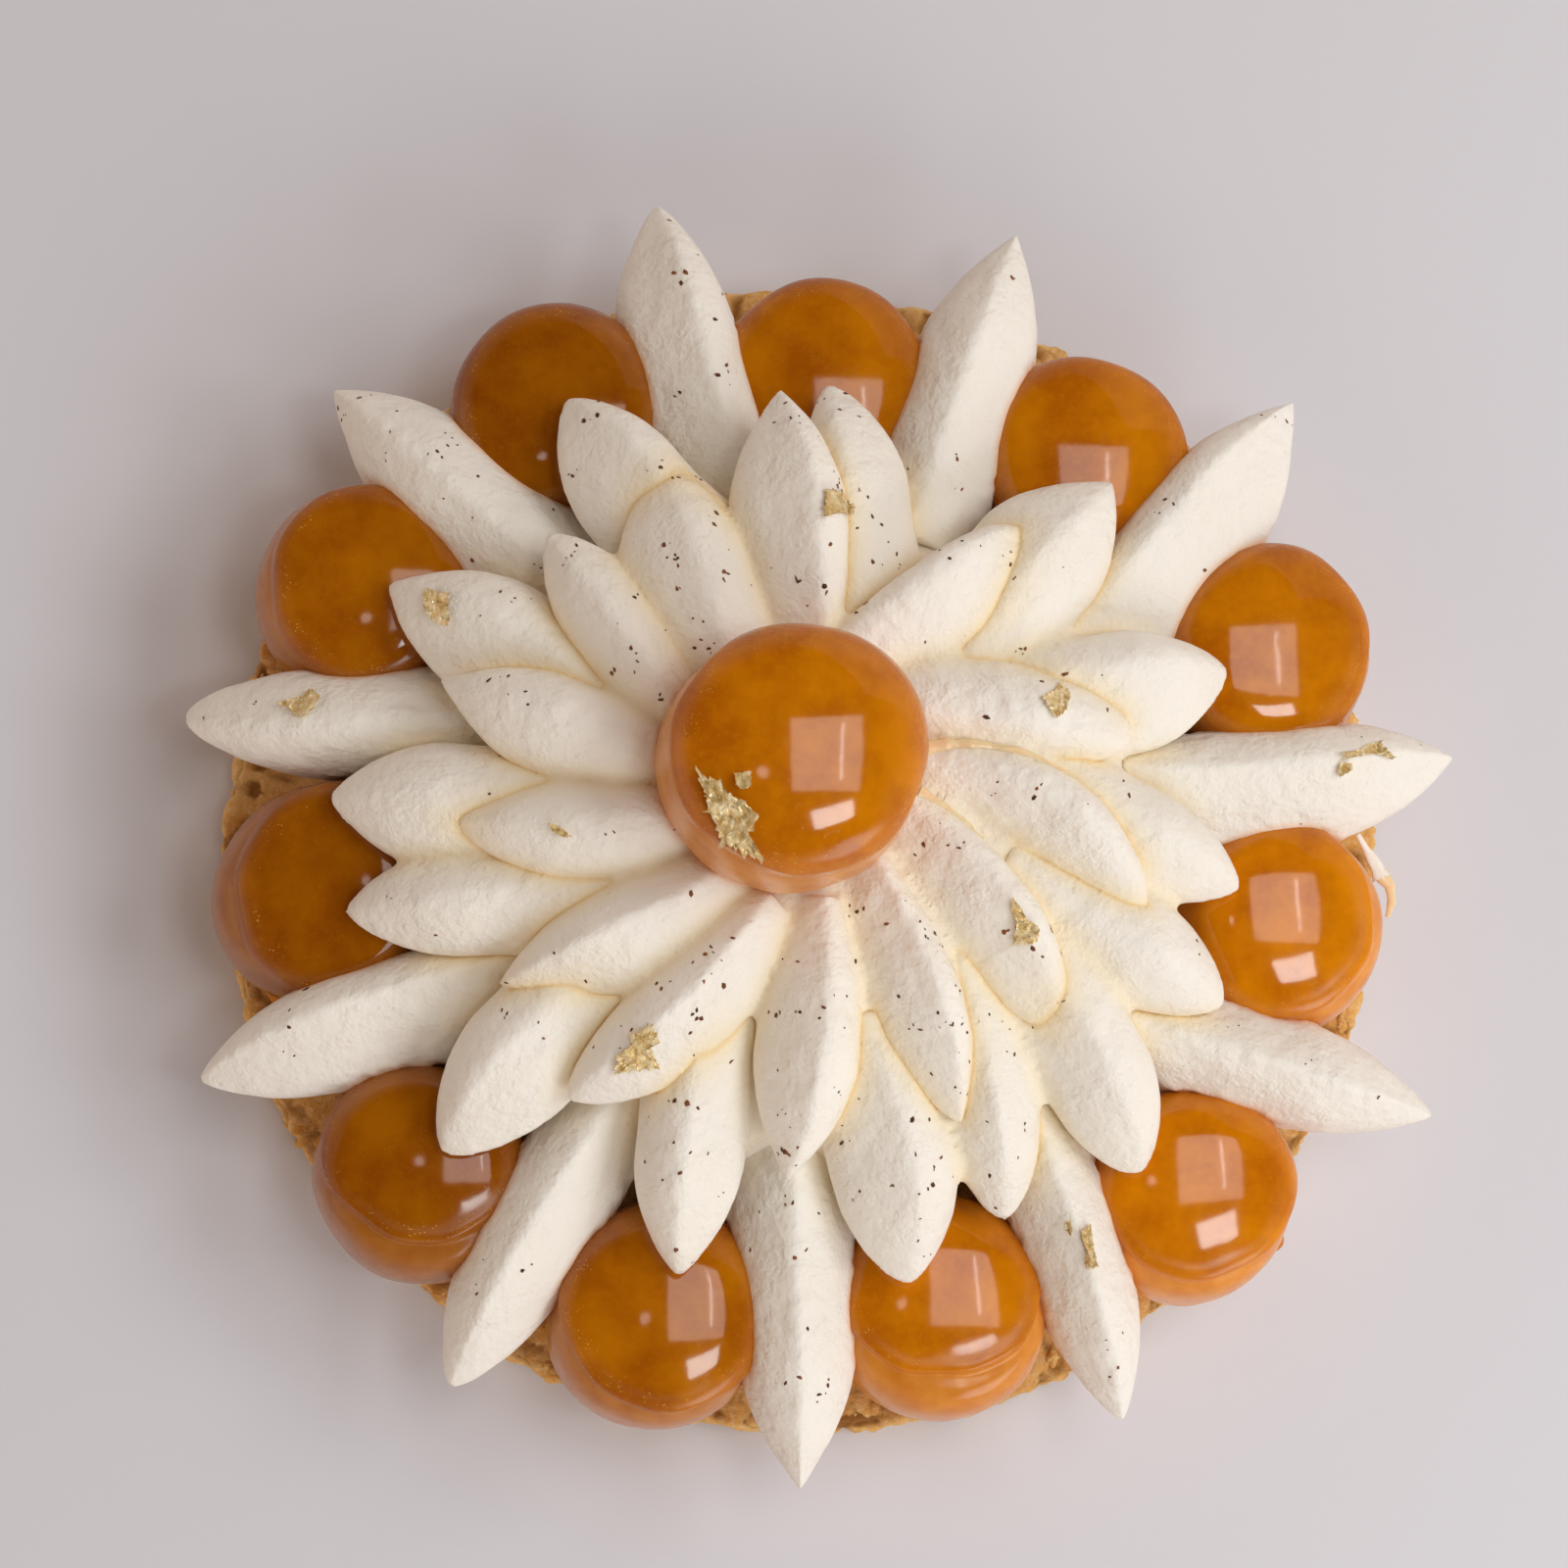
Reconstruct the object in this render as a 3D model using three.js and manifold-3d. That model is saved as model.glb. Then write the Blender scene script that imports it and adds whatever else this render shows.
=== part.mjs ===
// A Saint Honore cake, in millimetres, +Z up, standing on its pastry base at the origin.
// A rough disc of flaky pastry carries a ring of glazed choux puffs and a bed of cream.
// Three rings of piped cream petals lie on them, with one larger puff at the top.

import * as THREE from 'three';
import { mergeVertices } from 'three/addons/utils/BufferGeometryUtils.js';
import Module from 'manifold-3d';

const wasm = await Module();
wasm.setup();

// Room left between touching pieces.
const CLEAR = 0.3;

// The pastry disc.
const BASE_RADIUS = 104;
const BASE_THICKNESS = 8;
const BASE_CRAGS = 1.8;
const BASE_SINK = 0.4;
const BASE_FLAT_RADIUS = 99;
const BASE_STEPS = 56;

// The bed of cream inside the ring of puffs: radius and height above the table, from the top out.
const BED_FOOT_RADIUS = 59;
const BED_PROFILE = [[16, 50], [27, 49], [41, 46], [52, 41], [BED_FOOT_RADIUS, 33]];
const BED_SIDES = 20;

// The puffs: height on the base, and one row each of bearing, reach, radius and height.
const PUFF_ROWS = [
  [120.5, 89, 19, 31],
  [88.5, 83, 19, 30],
  [55, 85.5, 18.5, 31],
  [23.5, 89, 19, 32],
  [351, 84.5, 18.5, 31],
  [317.5, 90, 18.5, 31],
  [285.5, 83.5, 19, 30],
  [252, 86, 19, 32],
  [220.5, 88.5, 18.5, 31],
  [186, 85.5, 19, 32],
  [150.5, 90, 19, 31],
];
const TOP_PUFF = { x: -7, y: 9.5, foot: 50 + CLEAR, radius: 22, height: 35 };

// A puff's profile as shares of its radius and height: foot, belly, caramel rim and flat cap.
const PUFF_PROFILE = [[0.6, 0], [0.9, 0.16], [1, 0.44], [0.96, 0.66], [0.84, 0.82], [0.5, 0.955]];
const PUFF_SIDES = 16;
const PUFF_WOBBLE = 0.018;

// Piped petals. A row holds the tip's bearing and reach, how far the petal turns off the line to the
// middle, its width, its sideways bow, the lean of its crest and the bluntness of its tip.
const OUTER = {
  name: 'outer_petal',
  length: 62,
  tipHeight: 29,
  rise: 3,
  crest: 12,
  belly: 5,
  keel: 20,
  narrowing: 0.2,
  stations: 8,
  rows: [
    [103.5, 118, 1, 22, -3, 0.3, 0.35],
    [71.5, 117, 0, 22, 0, -0.15, 0],
    [43, 119, 8, 22, 1, -0.5, 0],
    [8.5, 116, -1, 22, 2, -0.3, 0.2],
    [337, 119, 7, 19, 0, 0.05, 0.3],
    [298.5, 113, -10, 18, -1, 0, 0.4],
    [269, 111, 3, 22, 0, 0.05, 0.05],
    [236.5, 112, 3, 20, 1, 0.15, 0.6],
    [201.5, 113, -5, 20, 1, 0.4, 0.5],
    [169, 111, 12, 19, -1, -0.2, 0.8],
    [136.5, 116, 3, 23, 0, -0.1, 0.2],
  ],
};
const MIDDLE = {
  name: 'middle_petal',
  length: 46,
  tipHeight: 42,
  rise: 4,
  crest: 10,
  belly: 7,
  keel: 0,
  narrowing: 0.3,
  stations: 6,
  rows: [
    [120, 88, 10, 21, -2, 0.4, 0.4],
    [88.5, 80, 9, 18, 2, -0.3, 0.5],
    [50.5, 82, 1, 24, -2, 0, 0],
    [22.5, 78, -9, 22, 0, -0.35, 0.5],
    [353.5, 74, -20, 19, 1, -0.15, 0.5],
    [338, 76, -6, 20, -1, 0, 0.6],
    [314, 80, -13, 20, -2, -0.1, 0.7],
    [296, 73, -14, 17, -1, 0, 0.7],
    [281.5, 78, 3, 22, -2, -0.2, 0.6],
    [252.5, 79, 10, 19, 1, 0.2, 0.25],
    [220.5, 84, 4, 22, 2, 0.3, 0.5],
    [189.5, 82, -5, 19, 0, 0, 0.4],
    [176, 84, -1, 22, 0, 0.15, 0.4],
    [150, 86, -3, 22, 2, 0.2, 0.1],
  ],
};
const INNER = {
  name: 'inner_petal',
  length: 48,
  tipHeight: 51,
  rise: 3,
  crest: 10,
  belly: 6,
  keel: 0,
  narrowing: 0.5,
  stations: 6,
  rows: [
    [95.5, 77, 0, 20, -1, 0.4, 0],
    [113.5, 69, -7, 24, -2, 0.15, 0.4],
    [133, 69, -6, 18, 0, -0.15, 0.6],
    [159, 70, 1, 18, -1, 0.15, 0],
    [179, 64, 3, 18, -3, 0.1, 0],
    [206, 61, 0, 18, -2, 0.2, 0],
    [227, 63, -3, 17, -3, 0.25, 0.6],
    [264, 60, 0, 18, -1, -0.2, 0],
    [295, 55, -4, 16, 0, -0.4, 0.2],
    [320.5, 53, -12, 17, -1, -0.45, 0.6],
    [347, 57, -17, 15, -5, -0.25, 0.7],
    [17.5, 56, -25, 17, -1, 0.15, 1],
    [56, 63, -18, 17, 2, -0.6, 0.9],
  ],
};

// Where a petal is widest, how steeply its tip opens, how much its root narrows, and its section.
const FULL_AT = 0.45;
const TIP_OPENING = 1.9;
const CREST_SHARPNESS = 1.1;
const CREST_FULLNESS = 0.6;
const KEEL_FROM = 0.1;
const KEEL_TO = 0.42;
const ACROSS_TOP = [-1, -0.7, 0, 0.7, 1];
const ACROSS_UNDER = [0.6, -0.6];

// Gold leaf: the petal it lies on, place along and across it, length, width and turn.
const FLAKE_THICKNESS = 0.5;
const FLAKE_CRUMPLE = 0.45;
const FLAKE_CORNERS = 7;
const FLAKES = [
  ['outer_petal_04', 0.27, 0.1, 12, 4, 30],
  ['outer_petal_06', 0.5, 0.05, 11, 4.5, 10],
  ['outer_petal_10', 0.34, 0.3, 8, 6, 40],
  ['middle_petal_14', 0.22, 0.1, 8, 5, 100],
  ['inner_petal_01', 0.42, 0.7, 8, 5.5, 80],
  ['inner_petal_05', 0.4, -0.25, 4.5, 3, 20],
  ['inner_petal_07', 0.32, 0, 9, 7, 60],
  ['inner_petal_10', 0.4, -0.5, 8, 5, 150],
  ['inner_petal_12', 0.3, -0.4, 8, 6, 110],
];
// On the top puff: bearing and reach from its middle, height, length, width and turn.
const TOP_FLAKES = [
  [228, 13.5, 19, 7, 125],
  [198, 9.5, 3.5, 3, 0],
];

const CREAM = new THREE.MeshStandardMaterial({ color: 0xf3ead9, roughness: 0.55, metalness: 0 });
const CARAMEL = new THREE.MeshStandardMaterial({ color: 0xb36a16, roughness: 0.12, metalness: 0 });
const PASTRY = new THREE.MeshStandardMaterial({ color: 0xb98048, roughness: 0.9, metalness: 0 });

const radians = THREE.MathUtils.degToRad;

// The volume inside a closed geometry, negative where its faces point inwards.
function signedVolume(points, index) {
  const cross = new THREE.Vector3();
  let total = 0;
  for (let i = 0; i < index.length; i += 3) {
    const [a, b, c] = [points[index[i]], points[index[i + 1]], points[index[i + 2]]];
    total += a.dot(cross.crossVectors(b, c)) / 6;
  }
  return total;
}

// A closed skin over rings of points, with one point that closes each end.
function closedSkin(rings, first, last) {
  const count = rings[0].length;
  const points = [first, ...rings.flat(), last];
  const at = (ring, step) => 1 + ring * count + (step % count);
  const index = [];
  for (let step = 0; step < count; step += 1) {
    index.push(0, at(0, step + 1), at(0, step));
    index.push(points.length - 1, at(rings.length - 1, step), at(rings.length - 1, step + 1));
    for (let ring = 0; ring + 1 < rings.length; ring += 1) {
      const corners = [at(ring, step), at(ring, step + 1), at(ring + 1, step + 1), at(ring + 1, step)];
      index.push(corners[0], corners[1], corners[2]);
      index.push(corners[0], corners[2], corners[3]);
    }
  }
  if (signedVolume(points, index) < 0) {
    index.reverse();
  }
  const geometry = new THREE.BufferGeometry().setFromPoints(points);
  geometry.setIndex(index);
  return geometry;
}

// A geometry as a solid that can be joined and cut.
function toSolid(geometry) {
  const bare = geometry.clone();
  bare.deleteAttribute('normal');
  bare.deleteAttribute('uv');
  const merged = mergeVertices(bare, 1e-4);
  return new wasm.Manifold(new wasm.Mesh({
    numProp: 3,
    vertProperties: new Float32Array(merged.attributes.position.array),
    triVerts: new Uint32Array(merged.index.array),
  }));
}

// A solid's largest body as a geometry, without the loose scraps that a cut leaves.
function toGeometry(solid) {
  const bodies = solid.decompose();
  const largest = bodies.reduce((best, body) => (body.volume() > best.volume() ? body : best));
  const mesh = largest.getMesh();
  const geometry = new THREE.BufferGeometry();
  geometry.setAttribute('position', new THREE.BufferAttribute(mesh.vertProperties, 3));
  geometry.setIndex(new THREE.BufferAttribute(mesh.triVerts, 1));
  geometry.computeVertexNormals();
  return geometry;
}

// Whether two solids' boxes meet.
function boxesMeet(a, b) {
  const [one, two] = [a.boundingBox(), b.boundingBox()];
  return [0, 1, 2].every((axis) => one.min[axis] < two.max[axis] && two.min[axis] < one.max[axis]);
}

function cutAll(solid, tools) {
  return tools.filter((tool) => boxesMeet(solid, tool)).reduce((rest, tool) => rest.subtract(tool), solid);
}

// A slow wave round a circle that differs with the seed, between about -1 and 1.
function wave(angle, seed) {
  return 0.6 * Math.sin(2 * angle + seed) + 0.4 * Math.sin(3 * angle + 2.3 * seed);
}

// A crag's height from the angle and a level number: three waves that don't share a period.
function crag(angle, level) {
  return (Math.sin(11 * angle + level) + Math.sin(17 * angle + 2.1 * level) + Math.sin(29 * angle)) / 3;
}

// The pastry disc: flat underneath and where the puffs stand, craggy round its edge.
function pastryBase(grow = 0) {
  const levels = [
    [BASE_RADIUS - 2.5, 0],
    [BASE_RADIUS - 0.5, 0.35],
    [BASE_RADIUS, 0.7],
    [BASE_RADIUS - 1.8, 1],
  ];
  const ring = (radius, share, level) => Array.from({ length: BASE_STEPS }, (_, step) => {
    const angle = (2 * Math.PI * step) / BASE_STEPS;
    const reach = radius + BASE_CRAGS * crag(angle, level);
    const height = share * (BASE_THICKNESS - BASE_SINK * (1 + crag(angle, level + 3)));
    return new THREE.Vector3(reach * Math.cos(angle), reach * Math.sin(angle), height);
  });
  const rings = levels.map(([radius, share], level) => ring(radius, share, level));
  rings.push(Array.from({ length: BASE_STEPS }, (_, step) => {
    const angle = (2 * Math.PI * step) / BASE_STEPS;
    const top = BASE_THICKNESS + grow;
    return new THREE.Vector3(BASE_FLAT_RADIUS * Math.cos(angle), BASE_FLAT_RADIUS * Math.sin(angle), top);
  }));
  return closedSkin(rings, new THREE.Vector3(0, 0, 0), new THREE.Vector3(0, 0, BASE_THICKNESS + grow));
}

// The bed of cream: a low dome turned round the middle.
function creamBed(grow = 0) {
  const foot = BASE_THICKNESS + CLEAR;
  const outline = [
    [0, foot - grow],
    [BED_FOOT_RADIUS + grow, foot - grow],
    ...BED_PROFILE.toReversed().map(([radius, height]) => [radius + grow, height + grow]),
    [0, BED_PROFILE[0][1] + grow],
  ];
  return new THREE.LatheGeometry(outline.map(([x, y]) => new THREE.Vector2(x, y)), BED_SIDES)
    .rotateX(Math.PI / 2);
}

// A choux puff dipped in caramel: a round belly on a small foot, with a rim round its flatter cap.
function puff(x, y, foot, radius, height, seed, grow = 0) {
  const rings = PUFF_PROFILE.map(([shareOut, shareUp]) => (
    Array.from({ length: PUFF_SIDES }, (_, step) => {
      const angle = (2 * Math.PI * step) / PUFF_SIDES;
      const reach = radius * shareOut * (1 + PUFF_WOBBLE * wave(angle, seed)) + grow;
      const up = foot + height * shareUp + grow * (2 * shareUp - 1);
      return new THREE.Vector3(x + reach * Math.cos(angle), y + reach * Math.sin(angle), up);
    })
  ));
  const bottom = new THREE.Vector3(x, y, foot - grow);
  const top = new THREE.Vector3(x, y, foot + height + grow);
  return closedSkin(rings, bottom, top);
}

// How full a petal is, from 0 at its tip to 1 where it is widest, and a little less at its root.
function fullness(kind, along, blunt) {
  const opening = along < FULL_AT
    ? 1 - (1 - Math.max(along, 0) / FULL_AT) ** TIP_OPENING
    : 1 - kind.narrowing * ((along - FULL_AT) / (1 - FULL_AT)) ** 2;
  return { wide: opening ** (1 - 0.5 * blunt), high: opening ** 0.9 };
}

// A point of a petal, from its share along (0 tip, 1 root) and across (-1 to 1), on top or beneath.
function petalPoint(kind, row, along, across, beneath, grow = 0) {
  const [bearing, reach, turn, width, bow, lean, blunt] = row;
  const { wide, high } = fullness(kind, along, blunt);
  const out = radians(bearing);
  const heading = radians(bearing + 180 + turn);
  const shoulder = kind.tipHeight + kind.rise * (1 - (1 - along) ** 2);
  const half = 0.5 * width * wide + grow;
  const side = 4 * bow * along * (1 - along) + half * (across + lean * (1 - across * across));
  const keel = kind.keel * THREE.MathUtils.smoothstep(along, KEEL_FROM, KEEL_TO);
  const over = (kind.crest * high + grow) * (1 - Math.abs(across) ** CREST_SHARPNESS) ** CREST_FULLNESS;
  const under = -(kind.belly * high + keel + grow) * Math.sqrt(1 - across * across);
  return new THREE.Vector3(
    reach * Math.cos(out) + kind.length * along * Math.cos(heading) - side * Math.sin(heading),
    reach * Math.sin(out) + kind.length * along * Math.sin(heading) + side * Math.cos(heading),
    shoulder + (beneath ? under : over),
  );
}

// A whole petal: sharp crest above, round belly below, and a keel where it fills the gap below it.
function petal(kind, row, grow = 0) {
  const rings = [];
  for (let station = 1; station <= kind.stations; station += 1) {
    const along = (station / kind.stations) ** 1.25;
    rings.push([
      ...ACROSS_TOP.map((across) => petalPoint(kind, row, along, across, false, grow)),
      ...ACROSS_UNDER.map((across) => petalPoint(kind, row, along, across, true, grow)),
    ]);
  }
  const tip = petalPoint(kind, row, -grow / kind.length, 0, false, 0);
  const middle = rings.at(-1).reduce((sum, point) => sum.add(point), new THREE.Vector3());
  return closedSkin(rings, tip, middle.divideScalar(rings.at(-1).length));
}

// A crumpled scrap of gold leaf, lying on a point with its face along the normal there.
function flake(point, normal, length, width, turn, seed) {
  const corner = (step, side) => {
    const angle = (2 * Math.PI * step) / FLAKE_CORNERS;
    const ragged = 1 + 0.3 * Math.sin(5 * angle + seed);
    const crumple = FLAKE_CRUMPLE * Math.sin(3 * angle + 2 * seed);
    const lift = crumple + (side * FLAKE_THICKNESS) / 2;
    return new THREE.Vector3(
      0.5 * length * ragged * Math.cos(angle),
      0.5 * width * ragged * Math.sin(angle),
      lift,
    );
  };
  const rim = (side) => Array.from({ length: FLAKE_CORNERS }, (_, step) => corner(step, side));
  const half = FLAKE_THICKNESS / 2;
  const scrap = closedSkin([rim(-1), rim(1)], new THREE.Vector3(0, 0, -2 * half), new THREE.Vector3(0, 0, half));
  scrap.rotateZ(radians(turn));
  const up = new THREE.Vector3(0, 0, 1);
  scrap.applyQuaternion(new THREE.Quaternion().setFromUnitVectors(up, normal));
  return scrap.translate(point.x, point.y, point.z);
}

// The flakes of one petal, each laid on its surface.
function petalFlakes(kind, row, name) {
  const step = 0.02;
  return FLAKES.filter(([host]) => host === name).map(([, along, across, length, width, turn], i) => {
    const at = petalPoint(kind, row, along, across, false);
    const onward = petalPoint(kind, row, along + step, across, false).sub(at);
    const aside = petalPoint(kind, row, along, across + step, false).sub(at);
    const normal = onward.cross(aside).normalize();
    return toSolid(flake(at, normal, length, width, turn, along * 9 + i));
  });
}

// The top puff's flakes, on the shoulder and cap of its profile.
function topFlakes() {
  return TOP_FLAKES.map(([bearing, reach, length, width, turn], i) => {
    const share = reach / TOP_PUFF.radius;
    const outer = PUFF_PROFILE.findLastIndex(([shareOut]) => shareOut > share);
    const [wide, low] = PUFF_PROFILE[outer];
    const [narrow, high] = PUFF_PROFILE[outer + 1] ?? [0, 1];
    const up = low + ((high - low) * (wide - share)) / (wide - narrow);
    const slope = Math.atan2((high - low) * TOP_PUFF.height, (wide - narrow) * TOP_PUFF.radius);
    const angle = radians(bearing);
    const normal = new THREE.Vector3(
      Math.sin(slope) * Math.cos(angle),
      Math.sin(slope) * Math.sin(angle),
      Math.cos(slope),
    );
    const at = new THREE.Vector3(
      TOP_PUFF.x + reach * Math.cos(angle),
      TOP_PUFF.y + reach * Math.sin(angle),
      TOP_PUFF.foot + TOP_PUFF.height * up,
    );
    return toSolid(flake(at, normal, length, width, turn, i + 1));
  });
}

function numbered(name, i) {
  return `${name}_${String(i + 1).padStart(2, '0')}`;
}

const cake = new THREE.Group();

function place(name, geometry, material) {
  const mesh = new THREE.Mesh(geometry, material);
  mesh.name = name;
  cake.add(mesh);
}

// The base, the bed and the puffs stand clear of each other as they are.
const puffSpots = PUFF_ROWS.map(([bearing, reach, radius, height]) => ({
  x: reach * Math.cos(radians(bearing)),
  y: reach * Math.sin(radians(bearing)),
  foot: BASE_THICKNESS + CLEAR,
  radius,
  height,
}));
const shapedPuff = ({ x, y, foot, radius, height }, i, grow) => puff(x, y, foot, radius, height, i, grow);

place('pastry_base', pastryBase(), PASTRY);
place('cream_bed', creamBed(), CREAM);
puffSpots.forEach((spot, i) => place(numbered('choux_puff', i), shapedPuff(spot, i), CARAMEL));
const topPuff = topFlakes().reduce((sum, scrap) => sum.add(scrap), toSolid(shapedPuff(TOP_PUFF, 11)));
place('top_puff', toGeometry(topPuff), CARAMEL);

// Every petal is cut clear of what it lies on, of the petals laid over it and of its neighbours.
const grownPuffs = [...puffSpots, TOP_PUFF].map((spot, i) => toSolid(shapedPuff(spot, i, CLEAR)));
const carriers = [toSolid(pastryBase(CLEAR)), toSolid(creamBed(CLEAR)), ...grownPuffs];
const laid = [];
[INNER, MIDDLE, OUTER].forEach((kind) => {
  kind.rows.forEach((row, i) => {
    const name = numbered(kind.name, i);
    const cut = cutAll(toSolid(petal(kind, row)), [...carriers, ...laid]);
    const dressed = petalFlakes(kind, row, name).reduce((sum, scrap) => sum.add(scrap), cut);
    place(name, toGeometry(dressed), CREAM);
    laid.push(toSolid(petal(kind, row, CLEAR)));
  });
});

export default cake;
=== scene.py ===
import itertools
import math

import bpy
import numpy as np
from mathutils import Matrix, Vector
from mathutils.bvhtree import BVHTree


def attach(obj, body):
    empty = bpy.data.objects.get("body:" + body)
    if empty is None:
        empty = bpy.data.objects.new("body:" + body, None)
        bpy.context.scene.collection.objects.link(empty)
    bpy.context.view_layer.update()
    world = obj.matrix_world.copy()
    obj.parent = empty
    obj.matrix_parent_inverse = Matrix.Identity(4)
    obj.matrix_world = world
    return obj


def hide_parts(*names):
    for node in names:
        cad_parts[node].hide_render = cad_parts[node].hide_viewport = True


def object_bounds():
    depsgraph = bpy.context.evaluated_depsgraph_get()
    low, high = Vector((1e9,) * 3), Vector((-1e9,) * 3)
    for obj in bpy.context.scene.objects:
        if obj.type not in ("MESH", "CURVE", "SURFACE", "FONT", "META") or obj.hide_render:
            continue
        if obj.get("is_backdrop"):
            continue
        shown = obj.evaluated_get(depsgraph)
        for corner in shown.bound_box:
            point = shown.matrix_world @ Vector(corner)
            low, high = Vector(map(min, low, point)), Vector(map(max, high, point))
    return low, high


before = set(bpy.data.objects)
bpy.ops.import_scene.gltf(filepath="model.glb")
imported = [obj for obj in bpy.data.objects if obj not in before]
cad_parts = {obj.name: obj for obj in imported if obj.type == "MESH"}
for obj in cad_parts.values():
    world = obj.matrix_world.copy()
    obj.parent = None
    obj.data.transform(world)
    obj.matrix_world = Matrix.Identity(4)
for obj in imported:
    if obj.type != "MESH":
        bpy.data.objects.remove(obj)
cad_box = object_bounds()

# The base: a disc of short pastry baked golden brown. It was cut round and pricked, so its top is
# level, while its edge broke into crumbs, crags and open pores.
MM = 0.001
BASE_RADIUS = 103.6 * MM
BASE_THICKNESS = 8 * MM
BASE_SHIFT = (1.2 * MM, 1.7 * MM)
BASE_CRUMB = 1.7 * MM
BASE_SEED = 11
RIM_CRUMBS = 260
RIM_SEED = 31
# Two crumbs that fell off the base lie beside it. Each row: where, and how wide, in mm.
FALLEN_CRUMBS = [(-90.8, -47.4, 1.9), (-88.9, -50.7, 1.5)]


def noise(points, size, seed):
    """Smooth noise from -1 to 1: a random value at each corner of cubes of side size, and between the
    corners their blend by the weight 3 t^2 - 2 t^3 along each axis."""
    spot = points / size
    cell = np.floor(spot).astype(np.int64)
    t = spot - cell
    t = t * t * (3 - 2 * t)
    total = 0
    for corner in itertools.product((0, 1), repeat=3):
        at = cell + np.array(corner)
        mixed = at[..., 0] * 73856093 ^ at[..., 1] * 19349663 ^ at[..., 2] * 83492791 ^ (seed + 1) * 40503
        mixed = (mixed ^ (mixed >> 13)) * 1274126177
        value = ((mixed >> 7) & 0xFFFF) / 0x7FFF - 1
        total = total + value * np.prod(np.where(corner, t, 1 - t), axis=-1)
    return total


def rough(points, size, seed, octaves=3):
    """Noise added to itself at half the size and half the height, octaves times."""
    return sum(noise(points, size / 2**k, seed + 7 * k) / 2**k for k in range(octaves))


def crumbly(points, size, seed, octaves=3):
    """Rounded lumps with sharp creases between them: the absolute value of noise, from 0 in the creases
    to about 1, each octave half as large and half as high."""
    return sum(np.abs(noise(points, size / 2**k, seed + 7 * k)) / 2**k for k in range(octaves))


def smooth_between(low, high, value):
    """0 below low, 1 above high, and 3 t^2 - 2 t^3 between them."""
    t = np.clip((value - low) / (high - low), 0, 1)
    return t * t * (3 - 2 * t)


def outward(grid):
    """The unit normals of a grid of points that closes round its second axis: the cross product of the
    steps along the two axes."""
    along = np.gradient(grid, axis=0)
    around = np.roll(grid, -1, axis=1) - np.roll(grid, 1, axis=1)
    normal = np.cross(along, around)
    return normal / np.maximum(np.linalg.norm(normal, axis=-1, keepdims=True), 1e-12)


def closed_skin(grid):
    """Points, quads and triangles of a tube of rings, closed by the middle point of each end ring."""
    rings, count = grid.shape[:2]
    points = np.concatenate([grid.reshape(-1, 3), grid[:1].mean(1), grid[-1:].mean(1)])
    ring, step = np.meshgrid(np.arange(rings - 1), np.arange(count), indexing="ij")
    onward = (step + 1) % count
    quads = np.stack([ring * count + step, ring * count + onward,
                      (ring + 1) * count + onward, (ring + 1) * count + step], -1).reshape(-1, 4)
    step = np.arange(count)
    onward = (step + 1) % count
    last = (rings - 1) * count
    first_cap = np.stack([onward, step, np.full(count, rings * count)], -1)
    last_cap = np.stack([last + step, last + onward, np.full(count, rings * count + 1)], -1)
    tris = np.concatenate([first_cap, last_cap])
    a, b, c = (points[quads[:, k]] for k in range(3))
    if np.einsum("ij,ij->i", a - points.mean(0), np.cross(b - a, c - a)).sum() < 0:
        quads, tris = quads[:, ::-1], tris[:, ::-1]
    return points, quads, tris


def joined(skins):
    """Several skins as one: their points one after another, and each one's faces moved on to match."""
    offsets = np.cumsum([0] + [len(points) for points, _, _ in skins[:-1]])
    return (
        np.concatenate([points for points, _, _ in skins]),
        np.concatenate([quads + start for (_, quads, _), start in zip(skins, offsets)]),
        np.concatenate([tris + start for (_, _, tris), start in zip(skins, offsets)]),
    )


def lay(name, skin, material, nodes=(), marks=None, smooth=True):
    """A piece of the cake from its skin, riding on the cake, in place of the CAD nodes. marks holds a
    number for each point under the name that the material reads."""
    points, quads, tris = skin
    mesh = bpy.data.meshes.new(name)
    mesh.vertices.add(len(points))
    mesh.vertices.foreach_set("co", np.ascontiguousarray(points, dtype=np.float32).ravel())
    corners = np.concatenate([quads.ravel(), tris.ravel()]).astype(np.int32)
    starts = np.concatenate([4 * np.arange(len(quads)), 4 * len(quads) + 3 * np.arange(len(tris))])
    mesh.loops.add(len(corners))
    mesh.loops.foreach_set("vertex_index", corners)
    mesh.polygons.add(len(starts))
    mesh.polygons.foreach_set("loop_start", starts.astype(np.int32))
    mesh.polygons.foreach_set("use_smooth", np.full(len(starts), smooth))
    mesh.update(calc_edges=True)
    mesh.materials.append(material)
    for mark, values in (marks or {}).items():
        layer = mesh.attributes.new(mark, "FLOAT", "POINT")
        layer.data.foreach_set("value", np.ascontiguousarray(values, dtype=np.float32).ravel())
    piece = bpy.data.objects.new(name, mesh)
    bpy.context.scene.collection.objects.link(piece)
    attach(piece, "root")
    if nodes:
        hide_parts(*nodes)
    return piece


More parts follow.
